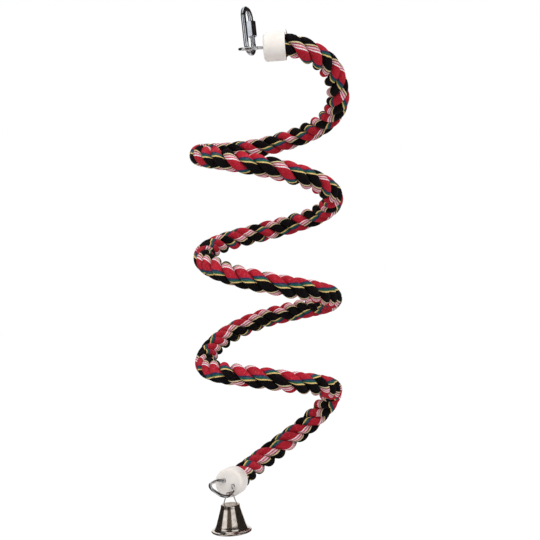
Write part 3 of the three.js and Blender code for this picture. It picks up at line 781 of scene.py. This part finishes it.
def nut_outside(level):
    """The nut's outer ring at a height: its hexagon, cut round by the chamfers at both ends."""
    edge = min(level, NUT_LENGTH - level)
    chamfer = NUT_FACE * NUT_FLATS / 2 + edge / tan(radians(NUT_CHAMFER))
    turns = [k / NUT_COLUMNS - NUT_TURN / 360 for k in range(NUT_COLUMNS)]
    return ring_at(level, [min(hexagon(turn, NUT_FLATS), chamfer) for turn in turns])


def nut_inside(level):
    """The ring of its bore at a height, with thread between the countersinks."""
    widen = max(0.0, NUT_COUNTERSINK - min(level, NUT_LENGTH - level))
    depth = 0 if widen else NUT_THREAD_DEPTH
    radius = LINK_WIRE / 2 + GAP + widen
    waves = [thread_wave(level / THREAD_PITCH - k / NUT_COLUMNS) for k in range(NUT_COLUMNS)]
    return ring_at(level, [radius - depth * wave for wave in waves])


def link_nut():
    """A long hexagonal nut, chamfered at both ends, threaded inside."""
    levels = NUT_END_LEVELS + [NUT_LENGTH / 2]
    levels += [NUT_LENGTH - level for level in reversed(NUT_END_LEVELS)]
    thread_step = THREAD_PITCH / NUT_THREAD_STEPS
    count = int((NUT_LENGTH - 2 * NUT_COUNTERSINK) / thread_step) + 1
    threaded = [NUT_LENGTH - NUT_COUNTERSINK - i * thread_step for i in range(count)]
    rings = [nut_outside(level) for level in levels]
    rings += [nut_inside(level) for level in [NUT_LENGTH] + threaded + [0.0]]
    piece = skin("link_nut", rings, ZINC, sharp=28, looped=True)
    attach(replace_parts(piece, "quick_link_nut"), "nut")


def ring_at(level, radii):
    """A ring round the threaded leg, at a height from the nut's lower end."""
    ring = []
    for k, r in enumerate(radii):
        angle = tau * k / len(radii)
        local = Vector((leg_offset + r * cos(angle), r * sin(angle), nut_bottom + level))
        ring.append(LINK_PLACE @ local)
    return ring


# End fittings

class Fitting:
    """One end of the spiral: where its cap faces, and the eye of wire that stands out of it."""

    def __init__(self, face, outward, across, eye_outward):
        self.face = Vector(face)
        self.out = Vector(outward).normalized()
        self.eye_out = Vector(eye_outward).normalized()
        side = Vector(across)
        self.side = (side - self.eye_out * side.dot(self.eye_out)).normalized()
        self.foot_side = (self.side - self.out * self.side.dot(self.out)).normalized()

    def inside(self, depth, across=0.0):
        """A point at a depth behind the cap's face, towards one leg of the eye or the other."""
        return self.face - self.out * depth + self.foot_side * across

    def on_leg(self, along, sign):
        """A point on a leg of the eye, at a distance out from the cap's face."""
        share = (along - EYE_SHOULDER) / (EYE_LENGTH - EYE_SHOULDER)
        spread = EYE_SHOULDER_SPREAD + (EYE_SPREAD - EYE_SHOULDER_SPREAD) * share
        return self.face + self.eye_out * along + self.side * (sign * spread / 2)

    def matrix(self):
        """Local Z runs from the face into the cap, and X from leg to leg."""
        inward = -self.out
        columns = (self.foot_side, inward.cross(self.foot_side), inward)
        place = Matrix(columns).transposed().to_4x4()
        return Matrix.Translation(self.face) @ place


def joint(name):
    return next(j for j in frame["joints"] if j["name"] == name)


coil_end = COIL_START - COIL_PITCH * COIL_TURNS
link_seat = Vector(joint("spiral_swing")["pos_m"]) + Z * (LINK_WIRE / 2 + CORE_WIRE / 2 + GAP)
top = Fitting((0, 0, 0), TOP_OUTWARD, TOP_ACROSS, TOP_OUTWARD)
ORIGIN = link_seat - top.on_leg(EYE_SEAT, 1)
top.face = ORIGIN.copy()
bottom = Fitting(ORIGIN + Vector((BOTTOM_FACE[0], BOTTOM_FACE[1], coil_end + BOTTOM_FACE[2])),
                 BOTTOM_OUTWARD, BOTTOM_ACROSS, BOTTOM_EYE_OUTWARD)

tape_outer = ROPE_TAPED_DIAMETER + 2 * (GAP + TAPE_THICKNESS)
cap_bore = tape_outer + 2 * CAP_FIT
pocket_end = ROPE_DEPTH + POCKET_LENGTH
bore_start = pocket_end + (POCKET_DIAMETER - CORE_WIRE) / 2
rope_bore = CORE_WIRE + 2 * ROPE_BORE_FIT
pocket_neck = rope_bore + (POCKET_DIAMETER - rope_bore) * POCKET_TAPER


def eye_wire(name, end, body):
    """An eye with its two legs, drawn together behind the cap's wall and held in the sleeve."""
    wall_inside = CAP_WALL + LEG_ROOM
    sleeve_end = SLEEVE_DEPTH + SLEEVE_LENGTH

    def half(sign):
        pair = sign * CORE_PAIR / 2
        foot = sign * EYE_FOOT / 2
        return [
            (end.inside(sleeve_end + CORE_RUN, pair), 0),
            (end.inside(SLEEVE_DEPTH - BEND_INSET, pair), LEG_BEND),
            (end.inside(wall_inside + BEND_INSET, foot), LEG_BEND),
            (end.inside(-FOOT_RISE, foot), FOOT_BEND),
            (end.on_leg(EYE_SHOULDER, sign), EYE_SHOULDER_BEND),
            (end.on_leg(EYE_LENGTH, sign), EYE_CORNER),
        ]

    corners = half(1) + half(-1)[::-1]
    corners[-1] = (corners[-1][0], LEG_BEND)
    corners.append((end.inside(bore_start), 0))
    path = bent_path(corners, bend_step=7)
    piece = tube(name, path, CORE_WIRE / 2, STEEL, columns=24, sharp=60)
    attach(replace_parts(piece, "core_wire"), body)


def cap(name, node, end, body):
    """A moulded cap: rounded face edge, a fine groove by the rim, two holes for the eye's legs."""
    inner = cap_bore / 2
    outer = inner + CAP_WALL
    edge = CAP_LENGTH - CAP_RIM
    profile = [(AXIS_HOLE, 0)]
    profile += arc((outer - CAP_ROUND, CAP_ROUND), CAP_ROUND, -90, 0, 10)
    profile += [(outer - deep, CAP_LENGTH - low) for low, deep in CAP_GROOVE]
    profile += arc((outer - CAP_RIM, edge), CAP_RIM, 0, 90, 4)
    profile += arc((inner + CAP_RIM, edge), CAP_RIM, 90, 180, 4)
    profile += [(inner, CAP_ROUND)]
    profile += arc((inner - CAP_WALL, 2 * CAP_WALL), CAP_WALL, 0, -90, 6)
    profile += [(AXIS_HOLE, CAP_WALL)]
    piece = lathe(name, profile, 96, PLASTIC, end.matrix(), sharp=40)
    holes = [(end.inside(0, sign * EYE_FOOT / 2), end.out) for sign in (-1, 1)]
    drill(piece, holes, CORE_WIRE / 2 + GAP, 4 * CAP_WALL)
    smooth(piece.data, 40)
    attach(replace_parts(piece, node), body)


# Rope

def strayed(values, quarter):
    """A smooth value between the quarter-turn values of a list (cubic Hermite)."""
    i = min(int(quarter), len(values) - 4)
    t = quarter - i
    before, start, end, after = values[i:i + 4]
    between = start * (2 * t**3 - 3 * t**2 + 1) + end * (3 * t**2 - 2 * t**3)
    return between + (end - before) / 2 * (t**3 - 2 * t**2 + t) + (after - start) / 2 * (t**3 - t**2)


def coil_point(step):
    """The middle of the rope on the coil, with the sway and sag of its quarter turns."""
    turn = step / COIL_STEPS
    radius = COIL_RADIUS + strayed(COIL_SWAY, turn * 4)
    height = COIL_START - COIL_PITCH * turn + strayed(COIL_SAG, turn * 4)
    angle = tau * turn
    x, y = COIL_AXIS
    return ORIGIN + Vector((x + radius * cos(angle), y + radius * sin(angle), height))


def cap_stations(end, free_diameter, straight_to):
    """Stations inside a cap, from the end of the rope outwards: point, diameter, bore."""
    taped = ROPE_DEPTH + TAPE_LENGTH + GAP
    return [
        (end.inside(ROPE_DEPTH), ROPE_TAPED_DIAMETER, POCKET_DIAMETER),
        (end.inside(pocket_end), ROPE_TAPED_DIAMETER, POCKET_DIAMETER),
        (end.inside(taped), ROPE_TAPED_DIAMETER, pocket_neck),
        (end.inside(CAP_LENGTH), min(free_diameter, cap_bore) - 2 * GAP, rope_bore),
        (end.inside(straight_to), free_diameter, rope_bore),
    ]


def rope_stations():
    """The rope's stations from the top cap to the bottom cap: point, diameter, bore."""
    stations = cap_stations(top, ROPE_TOP_DIAMETER, LEAD_STRAIGHT)
    stations += [(ORIGIN + Vector(p), ROPE_TOP_DIAMETER, rope_bore) for p in LEAD]
    for step in range(COIL_TURNS * COIL_STEPS + 1):
        settled = min(1.0, step / (COIL_STEPS / 4))
        diameter = ROPE_TOP_DIAMETER + (ROPE_DIAMETER - ROPE_TOP_DIAMETER) * settled
        stations.append((coil_point(step), diameter, rope_bore))
    for i, (x, y, drop) in enumerate(TAIL):
        share = (i + 1) / len(TAIL)
        diameter = ROPE_DIAMETER + (ROPE_BOTTOM_DIAMETER - ROPE_DIAMETER) * share
        stations.append((ORIGIN + Vector((x, y, coil_end + drop)), diameter, rope_bore))
    stations += cap_stations(bottom, ROPE_BOTTOM_DIAMETER, TAIL_STRAIGHT)[::-1]
    return stations


class RopeLine:
    """The rope's centreline, evenly stepped, with its directions, sizes and lay."""

    def __init__(self):
        stations = rope_stations()
        curve = smooth_path([point for point, _, _ in stations])
        spans = np.linalg.norm(np.diff(curve, axis=0), axis=1)
        lengths = np.concatenate([[0], np.cumsum(spans)])
        station_lengths = lengths[::SPAN_STEPS]
        self.length = lengths[-1]
        steps = round(self.length / ROPE_STEP)
        self.along = np.linspace(0, self.length, steps + 1)
        self.points = np.stack([np.interp(self.along, lengths, curve[:, i]) for i in range(3)], 1)
        ahead = np.gradient(self.points, axis=0)
        self.ahead = ahead / np.linalg.norm(ahead, axis=1)[:, None]
        up = np.array([0, 0, 1.0]) - self.ahead * self.ahead[:, 2:3]
        self.up = up / np.linalg.norm(up, axis=1)[:, None]
        self.side = np.cross(self.ahead, self.up)
        self.diameter = np.interp(self.along, station_lengths, [d for _, d, _ in stations])
        self.bore = np.interp(self.along, station_lengths, [b for _, _, b in stations])
        lays = [(0, LEAD_LAY), (LEAD_LAY_END, LEAD_LAY), (LEAD_LAY_END * 2, LAY)]
        lay = set_along(lays, self.along)
        step = self.length / steps
        self.lay_turn = LAY_START + np.concatenate([[0], np.cumsum(step / lay[:-1])])
        self.lay_turn += set_along(LAY_SHIFT, self.along)


def wander(along, seed, size, lengths):
    """A smooth irregular value along the rope, within about size of zero."""
    dice = random.Random(seed)
    total = np.zeros_like(along)
    for length in lengths:
        total += np.sin(tau * (along / length + dice.random()))
    return size * total / len(lengths)


def set_along(settings, along):
    """A value given at distances along the rope, and evenly changing between them."""
    spots, values = zip(*settings)
    return np.interp(along, spots, values)


def section(size, yarn_turn, bore):
    """The outline of a strand at every ring: x outwards from the rope's middle, y across."""
    column = np.arange(yarn_turn.shape[1])
    ridge = 0.5 + 0.5 * np.cos(tau * (column % YARN_COLUMNS) / YARN_COLUMNS)
    sink = (1 - (1 - ridge) ** YARN_CREST)[None, :]
    uneven = 1 + YARN_UNEVEN * np.sin(UNEVEN_STEP * (column // YARN_COLUMNS))
    depth = YARN_DEPTH * uneven[None, :]
    angle = tau * yarn_turn
    x = STRAND_CENTRE * size + (STRAND_RADIAL * size - depth * sink) * np.cos(angle)
    y = (STRAND_ACROSS * size - depth * sink) * np.sin(angle)
    # The strands press each other flat along the planes between them, and leave the bore free.
    limit = np.maximum(np.maximum(x, 0) * tan(pi / STRANDS) - STRAND_GAP, 0)
    y = np.clip(y, -limit, limit)
    reach = np.hypot(x, y)
    inner = (bore / 2)[:, None]
    push = np.where(reach < inner, inner / np.maximum(reach, 1e-6), 1.0)
    return np.where(x < 0, inner, x * push), y * push


def strand(line, number):
    """The points of one strand. Each mesh column stays on one yarn, which stands up as a ridge."""
    columns = YARN_COUNT * YARN_COLUMNS
    turn = line.lay_turn + number / STRANDS + wander(line.along, number, *LAY_WANDER)
    angle = tau * turn
    outward = line.up * np.cos(angle)[:, None] + line.side * np.sin(angle)[:, None]
    sideways = line.side * np.cos(angle)[:, None] - line.up * np.sin(angle)[:, None]
    drift = set_along(COLOUR_ROLL, line.along) + set_along(STRAND_PHASES[number], line.along)
    yarn_turn = np.arange(columns)[None, :] / columns + (YARN_TWIST * turn + drift)[:, None]
    swell = 1 + wander(line.along, SWELL_SEED + number, *SWELL_WANDER)
    x, y = section((line.diameter * swell)[:, None], yarn_turn, line.bore)
    return (line.points[:, None, :] + outward[:, None, :] * x[:, :, None]
            + sideways[:, None, :] * y[:, :, None])


def lay_out_yarns(piece, line, rings, columns):
    """The map that colours the yarns: millimetres along the rope, and yarns round the strand."""
    layer = piece.data.uv_layers.new(name="yarn")
    corners = np.zeros((len(piece.data.loops), 2), np.float32)
    ring = np.repeat(np.arange(rings - 1), columns)
    column = np.tile(np.arange(columns), rings - 1)
    steps = line.along * 1000
    for corner, (d_ring, d_column) in enumerate(((0, 0), (0, 1), (1, 1), (1, 0))):
        corners[corner:len(ring) * 4:4, 0] = steps[ring + d_ring]
        corners[corner:len(ring) * 4:4, 1] = (column + d_column) / YARN_COLUMNS
    layer.data.foreach_set("uv", corners.ravel())


def stretch_with_coil(piece):
    """Bakes a piece's place into its mesh."""
    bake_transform(piece)


def loose_end(line, name, along, offsets):
    """A loose end of yarn that stands out of the rope."""
    at = int(np.searchsorted(line.along, along))
    middle, ahead, up, side = (part[at] for part in (line.points, line.ahead, line.up, line.side))
    points = [middle + ahead * a + up * u + side * s for a, u, s in offsets]
    path = [Vector(p) for p in smooth_path(points, per_span=5)]
    piece = tube(name, path, LOOSE_YARN / 2, THREAD, columns=8)
    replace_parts(piece, "rope")
    stretch_with_coil(piece)


def rope():
    """Three strands, two loose ends of yarn, and the wire that runs through the rope."""
    line = RopeLine()
    for number in range(STRANDS):
        places = strand(line, number)
        rings, columns = places.shape[:2]
        faces = closed_faces(rings, columns)
        name = f"rope_strand_{number + 1}"
        piece = mesh_piece(name, places.reshape(-1, 3), faces, COTTON)
        lay_out_yarns(piece, line, rings, columns)
        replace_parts(piece, "rope")
        stretch_with_coil(piece)
    for number, (along, offsets) in enumerate(LOOSE_ENDS):
        loose_end(line, f"loose_yarn_{number + 1}", along, offsets)
    run = [Vector(p) for p, a in zip(line.points, line.along)
           if pocket_end < a + ROPE_DEPTH and a < line.length - POCKET_LENGTH]
    wire = tube("core_wire_run", run[::2], CORE_WIRE / 2, STEEL, columns=12)
    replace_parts(wire, "core_wire")
    stretch_with_coil(wire)


# Bell, in its own frame: the origin is the middle of the eye's wire, where it hangs

bell_top = CORE_WIRE / 2 + BAIL_WIRE / 2 + GAP - BAIL_HEIGHT
leg_along = bottom.on_leg(EYE_LENGTH, 1) - bottom.on_leg(EYE_SHOULDER, 1)
leg_along.z = 0
leg_along.normalize()
BELL_PLACE = (Matrix.Translation(bottom.on_leg(BELL_SEAT, 1))
              @ Matrix.Rotation(radians(BELL_TILT), 4, leg_along)
              @ Matrix.Rotation(atan2(leg_along.x, -leg_along.y), 4, "Z"))


def in_bell(x, y, z):
    """A point given in the bell's own frame."""
    return BELL_PLACE @ Vector((x, y, z))


def bell_profile():
    """Outside from the top's middle down to the bead, then back up the inside."""
    top_radius, waist, mouth = BELL_TOP / 2, BELL_WAIST / 2, BELL_MOUTH / 2
    crown_radius = top_radius - BELL_SHOULDER
    lip_top = BELL_LIP - BELL_HEIGHT
    crown = arc((crown_radius, -BELL_SHOULDER), BELL_SHOULDER, 90, 10, 6)
    side = []
    for k in range(1, BELL_SIDE_STEPS + 1):
        t = k / BELL_SIDE_STEPS
        radius = top_radius + (waist - top_radius) * float(set_along(BELL_SIDE, t))
        side.append((radius, -BELL_SHOULDER + (lip_top + BELL_SHOULDER) * t))
    flare = [(waist + out, lip_top - down) for out, down in BELL_FILLET]
    bead = arc((mouth - BELL_BEAD, BELL_BEAD - BELL_HEIGHT), BELL_BEAD, 60, -60, 7)
    rim = [(mouth - BELL_EDGE, -BELL_HEIGHT),
           (mouth - BELL_INNER_EDGE, BELL_INNER_STEP - BELL_HEIGHT),
           (waist + BELL_INNER_STEP, lip_top - BELL_LIP * BELL_INNER_FLARE)]
    within = [(r - BELL_WALL, z - BELL_WALL / 2) for r, z in crown[-1:] + side[:-1]][::-1]
    roof = [(crown_radius - BELL_WALL / 2, -BELL_WALL), (AXIS_HOLE, -BELL_WALL)]
    return [(AXIS_HOLE, 0)] + crown + side + flare + bead + rim + within + roof


def bell_shell():
    """The flared shell, with holes in its top for the feet of the bail."""
    place = BELL_PLACE @ Matrix.Translation((0, 0, bell_top))
    piece = lathe("bell_shell_plated", bell_profile(), 128, NICKEL, place, sharp=30)
    axis = (BELL_PLACE.to_3x3() @ Z).normalized()
    holes = [(in_bell(sign * BAIL_FEET / 2, 0, bell_top), axis) for sign in (-1, 1)]
    drill(piece, holes, BAIL_WIRE / 2 + GAP, 4 * BELL_WALL)
    smooth(piece.data, 30)
    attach(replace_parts(piece, "bell_shell"), "bell")


def bell_bail():
    """Thin wire over the eye: one end folded under the bell's top, the other across as a bar."""
    foot, arch = BAIL_FEET / 2, BAIL_SPREAD / 2
    foot_depth = BELL_WALL + GAP + BAIL_WIRE / 2
    corners = [
        ((BAR_SHORT - foot, -BAR_DEPTH), 0),
        ((foot, -BAR_DEPTH), BAR_BEND),
        ((foot, BAIL_SHOULDER), BAIL_SHOULDER_BEND),
        ((arch, BAIL_HEIGHT), BAIL_CORNER),
        ((-arch, BAIL_HEIGHT), BAIL_CORNER),
        ((-foot, BAIL_SHOULDER), BAIL_SHOULDER_BEND),
        ((-foot, -foot_depth), BAIL_FOLD_BEND),
        ((BAIL_FOLD - foot, -foot_depth), 0),
    ]
    placed = [(in_bell(x, 0, bell_top + z), r) for (x, z), r in corners]
    path = bent_path(placed, bend_step=8)
    piece = tube("bell_bail_wire", path, BAIL_WIRE / 2, NICKEL, columns=20, sharp=60)
    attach(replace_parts(piece, "bell_bail"), "bell")


def eye_wrap():
    """Thin wire wound round the bottom eye beside the bail, which keeps the bell in place."""
    centre = bottom.on_leg(BELL_SEAT - WRAP_OFFSET, 1)
    ahead = (bottom.on_leg(EYE_LENGTH, 1) - bottom.on_leg(EYE_SHOULDER, 1)).normalized()
    side = (Z - ahead * Z.dot(ahead)).normalized()
    up = ahead.cross(side)
    reach = CORE_WIRE / 2 + WRAP_WIRE / 2 + WRAP_GAP
    path = []
    for k in range(WRAP_TURNS * WRAP_STEPS + 1):
        turns = k / WRAP_STEPS
        angle = tau * turns
        round_wire = (side * cos(angle) + up * sin(angle)) * reach
        path.append(centre - ahead * (WRAP_WIRE * WRAP_LAY * turns) + round_wire)
    piece = tube("bottom_eye_wrap", path, WRAP_WIRE / 2, STEEL, columns=12, sharp=60)
    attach(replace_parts(piece, "core_wire"), "spiral_end")


def clapper_hook(loop, ball):
    """The clapper's wire: a loop round the bar, and a straight end in the ball."""
    path = []
    for k in range(CLAPPER_LOOP_STEPS + 1):
        angle = radians(CLAPPER_LOOP_START + CLAPPER_LOOP_SWEEP * k / CLAPPER_LOOP_STEPS)
        y, z = CLAPPER_LOOP * cos(angle), CLAPPER_LOOP * sin(angle)
        path.append(in_bell(0, y, loop + z))
    path.append(in_bell(0, 0, loop - CLAPPER_LOOP - CLAPPER_NECK))
    path.append(in_bell(0, 0, ball + CLAPPER_BALL / 2 - CLAPPER_BORE + GAP))
    wire = tube("clapper_hook", path, CLAPPER_WIRE / 2, NICKEL, columns=16, sharp=60)
    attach(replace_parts(wire, "clapper_wire"), "clapper")


def clapper():
    """The hook and its weight, hung on the bar in the bell."""
    bar = bell_top - BAR_DEPTH
    ball = bar - CLAPPER_DROP
    clapper_hook(bar + BAIL_WIRE / 2 + CLAPPER_WIRE / 2 + GAP - CLAPPER_LOOP, ball)
    radius = CLAPPER_BALL / 2
    bore = CLAPPER_WIRE / 2 + GAP
    mouth_angle = degrees(acos(bore / radius))
    profile = arc((0, 0), radius, -88, mouth_angle, 28) + [(bore, radius - CLAPPER_BORE)]
    place = BELL_PLACE @ Matrix.Translation((0, 0, ball))
    piece = lathe("clapper_weight", profile, 48, NICKEL, place, sharp=50)
    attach(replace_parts(piece, "clapper_ball"), "clapper")


# Tape round the rope's ends, and a grey corner shaped as loose tape above the top cap: painted shade
# of the rim's inner side

def tape_band(name, node, end, body):
    """A band of tape round the rope's end, with eased edges."""
    outer = tape_outer / 2
    inner = outer - TAPE_THICKNESS
    low, high = ROPE_DEPTH, ROPE_DEPTH + TAPE_LENGTH
    ease = TAPE_THICKNESS / 4
    profile = [(inner, low), (outer - ease, low), (outer, low + ease), (outer, high - ease),
               (outer - ease, high), (inner, high)]
    piece = lathe(name, profile, 64, TAPE, end.matrix(), sharp=50, looped=True)
    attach(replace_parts(piece, node), body)


def painted_shade_corner():
    """A thin pointed grey sheet, shaped as a corner of tape, that stands up from the rim of the top
    cap: painted shade of the rim's inner side, which lies in shadow.
    """
    rim = top.inside(CAP_LENGTH)
    first_across, first_height = TAPE_CORNER[0]
    rings = []
    for level in (0, TAPE_CORNER_THICKNESS):
        ring = []
        for across, height in TAPE_CORNER:
            ahead = TAPE_CORNER_AHEAD + (across - first_across) * TAPE_CORNER_TURN - level
            ahead -= (height - first_height) * TAPE_CORNER_LEAN
            sideways = top.foot_side * (TAPE_CORNER_ACROSS + across)
            ring.append(rim - top.out * ahead - sideways + Z * height)
        rings.append(ring)
    # Its grey material is painted shade of the rim's inner side
    piece = skin("top_corner_painted_shade", rings, TAPE_CORNER_SHADE, sharp=30)
    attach(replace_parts(piece, "top_end_tape"), "spiral")


def finish_sleeves():
    """The hidden crimp sleeves keep their model solids, in a material of their own."""
    for node in ("top_crimp_sleeve", "bottom_crimp_sleeve"):
        mesh = frame["nodes"][node].data
        mesh.materials.clear()
        mesh.materials.append(SLEEVE)


# Stage, camera and light

def seen_rays(nodes):
    """1 for camera, glossy and transmission rays, and 0 for the rest."""
    rays = nodes.add("ShaderNodeLightPath").outputs
    seen = rays["Is Camera Ray"]
    for name in ("Is Glossy Ray", "Is Transmission Ray"):
        seen = nodes.combine(seen, rays[name], "MAXIMUM")
    return seen


def floor_paper():
    """White to the camera and in reflections, and plain matte to other light."""
    material = bpy.data.materials.new("floor_paper")
    nodes = Nodes(material)
    nodes.tree.nodes.clear()
    matte = nodes.add("ShaderNodeBsdfDiffuse", Color=(FLOOR_GREY, FLOOR_GREY, FLOOR_GREY, 1))
    glow = nodes.add("ShaderNodeEmission", Color=(1, 1, 1, 1), Strength=FLOOR_GLOW)
    share = nodes.combine(seen_rays(nodes), FLOOR_SHARE, "MULTIPLY")
    mix = nodes.add("ShaderNodeMixShader", Fac=share)
    nodes.feed(mix.inputs[1], matte.outputs[0])
    nodes.feed(mix.inputs[2], glow.outputs[0])
    nodes.add("ShaderNodeOutputMaterial", Surface=mix.outputs[0])
    return material


def set_world():
    """White to the camera and in reflections, and softer as a light."""
    world = bpy.data.worlds.new("studio")
    nodes = Nodes(world)
    background = nodes.tree.nodes["Background"].inputs
    nodes.feed(background["Color"], (1, 1, 1, 1))
    strength = nodes.remap(seen_rays(nodes), WORLD_LIGHT, 1.0, 0.0, 1.0)
    nodes.feed(background["Strength"], strength)
    bpy.context.scene.world = world


def softbox(name, place, size, power):
    """A soft lamp that metal doesn't mirror."""
    lamp = bpy.data.lights.new(name, "AREA")
    lamp.shape = "RECTANGLE"
    lamp.size, lamp.size_y = size
    lamp.energy = power
    box = bpy.data.objects.new(name, lamp)
    box.location = place
    aim = Vector(LAMP_TARGET) - Vector(place)
    box.rotation_euler = aim.to_track_quat("-Z", "Y").to_euler()
    box.visible_glossy = False
    bpy.context.scene.collection.objects.link(box)


def mirrored_card(name, vertices, material, faces=((0, 1, 2, 3),)):
    """A card that only reflections see, as a photographer stands one beside metal."""
    card = mesh_piece(name, vertices, list(faces), material)
    card.visible_camera = False
    card.visible_diffuse = False
    card.visible_shadow = False
    card.visible_transmission = False


def upright_card(name, distance, place, material):
    """A card that stands at a distance from the toy and faces it."""
    azimuth, width, low, high = place
    angle = radians(azimuth)
    x = CARD_CENTRE[0] + distance * sin(angle)
    y = CARD_CENTRE[1] - distance * cos(angle)
    dx, dy = cos(angle) * width / 2, sin(angle) * width / 2
    corners = ((-1, low), (1, low), (1, high), (-1, high))
    mirrored_card(name, [(x + side * dx, y + side * dy, h) for side, h in corners], material)


def level_corners(corners, height):
    (x0, y0), (x1, y1) = corners
    return [(x, y, height) for x, y in ((x0, y0), (x1, y0), (x1, y1), (x0, y1))]


def bell_window(material):
    """Dark rings round the bell. Their gap is lit, and follows what the bell's side mirrors."""
    down, slope = radians(VIEW_DOWN), radians(BELL_SLOPE)
    centre = in_bell(0, 0, bell_top - BELL_HEIGHT / 2)
    faces = [(2 * k, 2 * k + 2, 2 * k + 3, 2 * k + 1) for k in range(WINDOW_STEPS)]
    limits = {"lower": (-WINDOW_REACH, -WINDOW_GAP), "upper": (WINDOW_GAP, WINDOW_REACH)}
    for name, angles in limits.items():
        vertices = []
        for k in range(WINDOW_STEPS + 1):
            azimuth = radians(WINDOW_SWEEP * (2 * k / WINDOW_STEPS - 1))
            mirrored = asin(sin(2 * slope) * cos(down) * cos(azimuth / 2)
                            - cos(2 * slope) * sin(down))
            for angle in angles:
                rise = tan(mirrored + radians(angle))
                aim = Vector((sin(azimuth), -cos(azimuth), rise))
                vertices.append(centre + aim * WINDOW_RADIUS)
        mirrored_card(f"bell_window_{name}", vertices, material, faces)


def stage():
    """The floor, the cards, the white surroundings and the lamps."""
    half = FLOOR_SIZE / 2
    floor = level_corners(((-half, -half), (half, half)), FLOOR_HEIGHT)
    mesh_piece("floor", floor, [(0, 1, 2, 3)], floor_paper())
    felt = dark_felt("dark_felt", 1.0)
    brown_felt = dark_felt("brown_felt", FRONT_LIGHTNESS)
    for i, place in enumerate(CARDS):
        upright_card(f"card_{i + 1}", CARD_DISTANCE, place, felt)
    upright_card("front_card", CARD_DISTANCE, FRONT_CARD, brown_felt)
    for i, place in enumerate(LOW_CARDS):
        upright_card(f"low_card_{i + 1}", LOW_CARD_DISTANCE, place, felt)
    for i, corners in enumerate(CEILINGS):
        vertices = level_corners(corners, CEILING_HEIGHT)
        mirrored_card(f"ceiling_card_{i + 1}", vertices, felt)
    mirrored_card("table_card", level_corners(TABLE, TABLE_HEIGHT), felt)
    bell_window(felt)
    set_world()
    for name, (place, size, power) in LAMPS.items():
        softbox(name, place, size, power)


def camera():
    """The photograph's view, level with the middle of the coil."""
    lens = bpy.data.cameras.new("camera")
    lens.sensor_width = SENSOR
    lens.lens = SENSOR * FOCAL_PIXELS / FRAME_PIXELS
    lens.clip_start = CLIP_START
    eye = bpy.data.objects.new("camera", lens)
    eye.location = CAMERA_PLACE
    eye.rotation_euler = (radians(90), 0, 0)
    bpy.context.scene.collection.objects.link(eye)
    bpy.context.scene.camera = eye
    bpy.context.scene.view_settings.view_transform = "Standard"


camera()
stage()
quick_link()
link_nut()
rope()
eye_wire("top_eye", top, "spiral")
eye_wire("bottom_eye", bottom, "spiral_end")
cap("top_cap_shell", "top_cap", top, "spiral")
cap("bottom_cap_shell", "bottom_cap", bottom, "spiral_end")
bell_shell()
bell_bail()
eye_wrap()
clapper()
tape_band("top_tape_band", "top_end_tape", top, "spiral")
tape_band("bottom_tape_band", "bottom_end_tape", bottom, "spiral_end")
painted_shade_corner()
finish_sleeves()
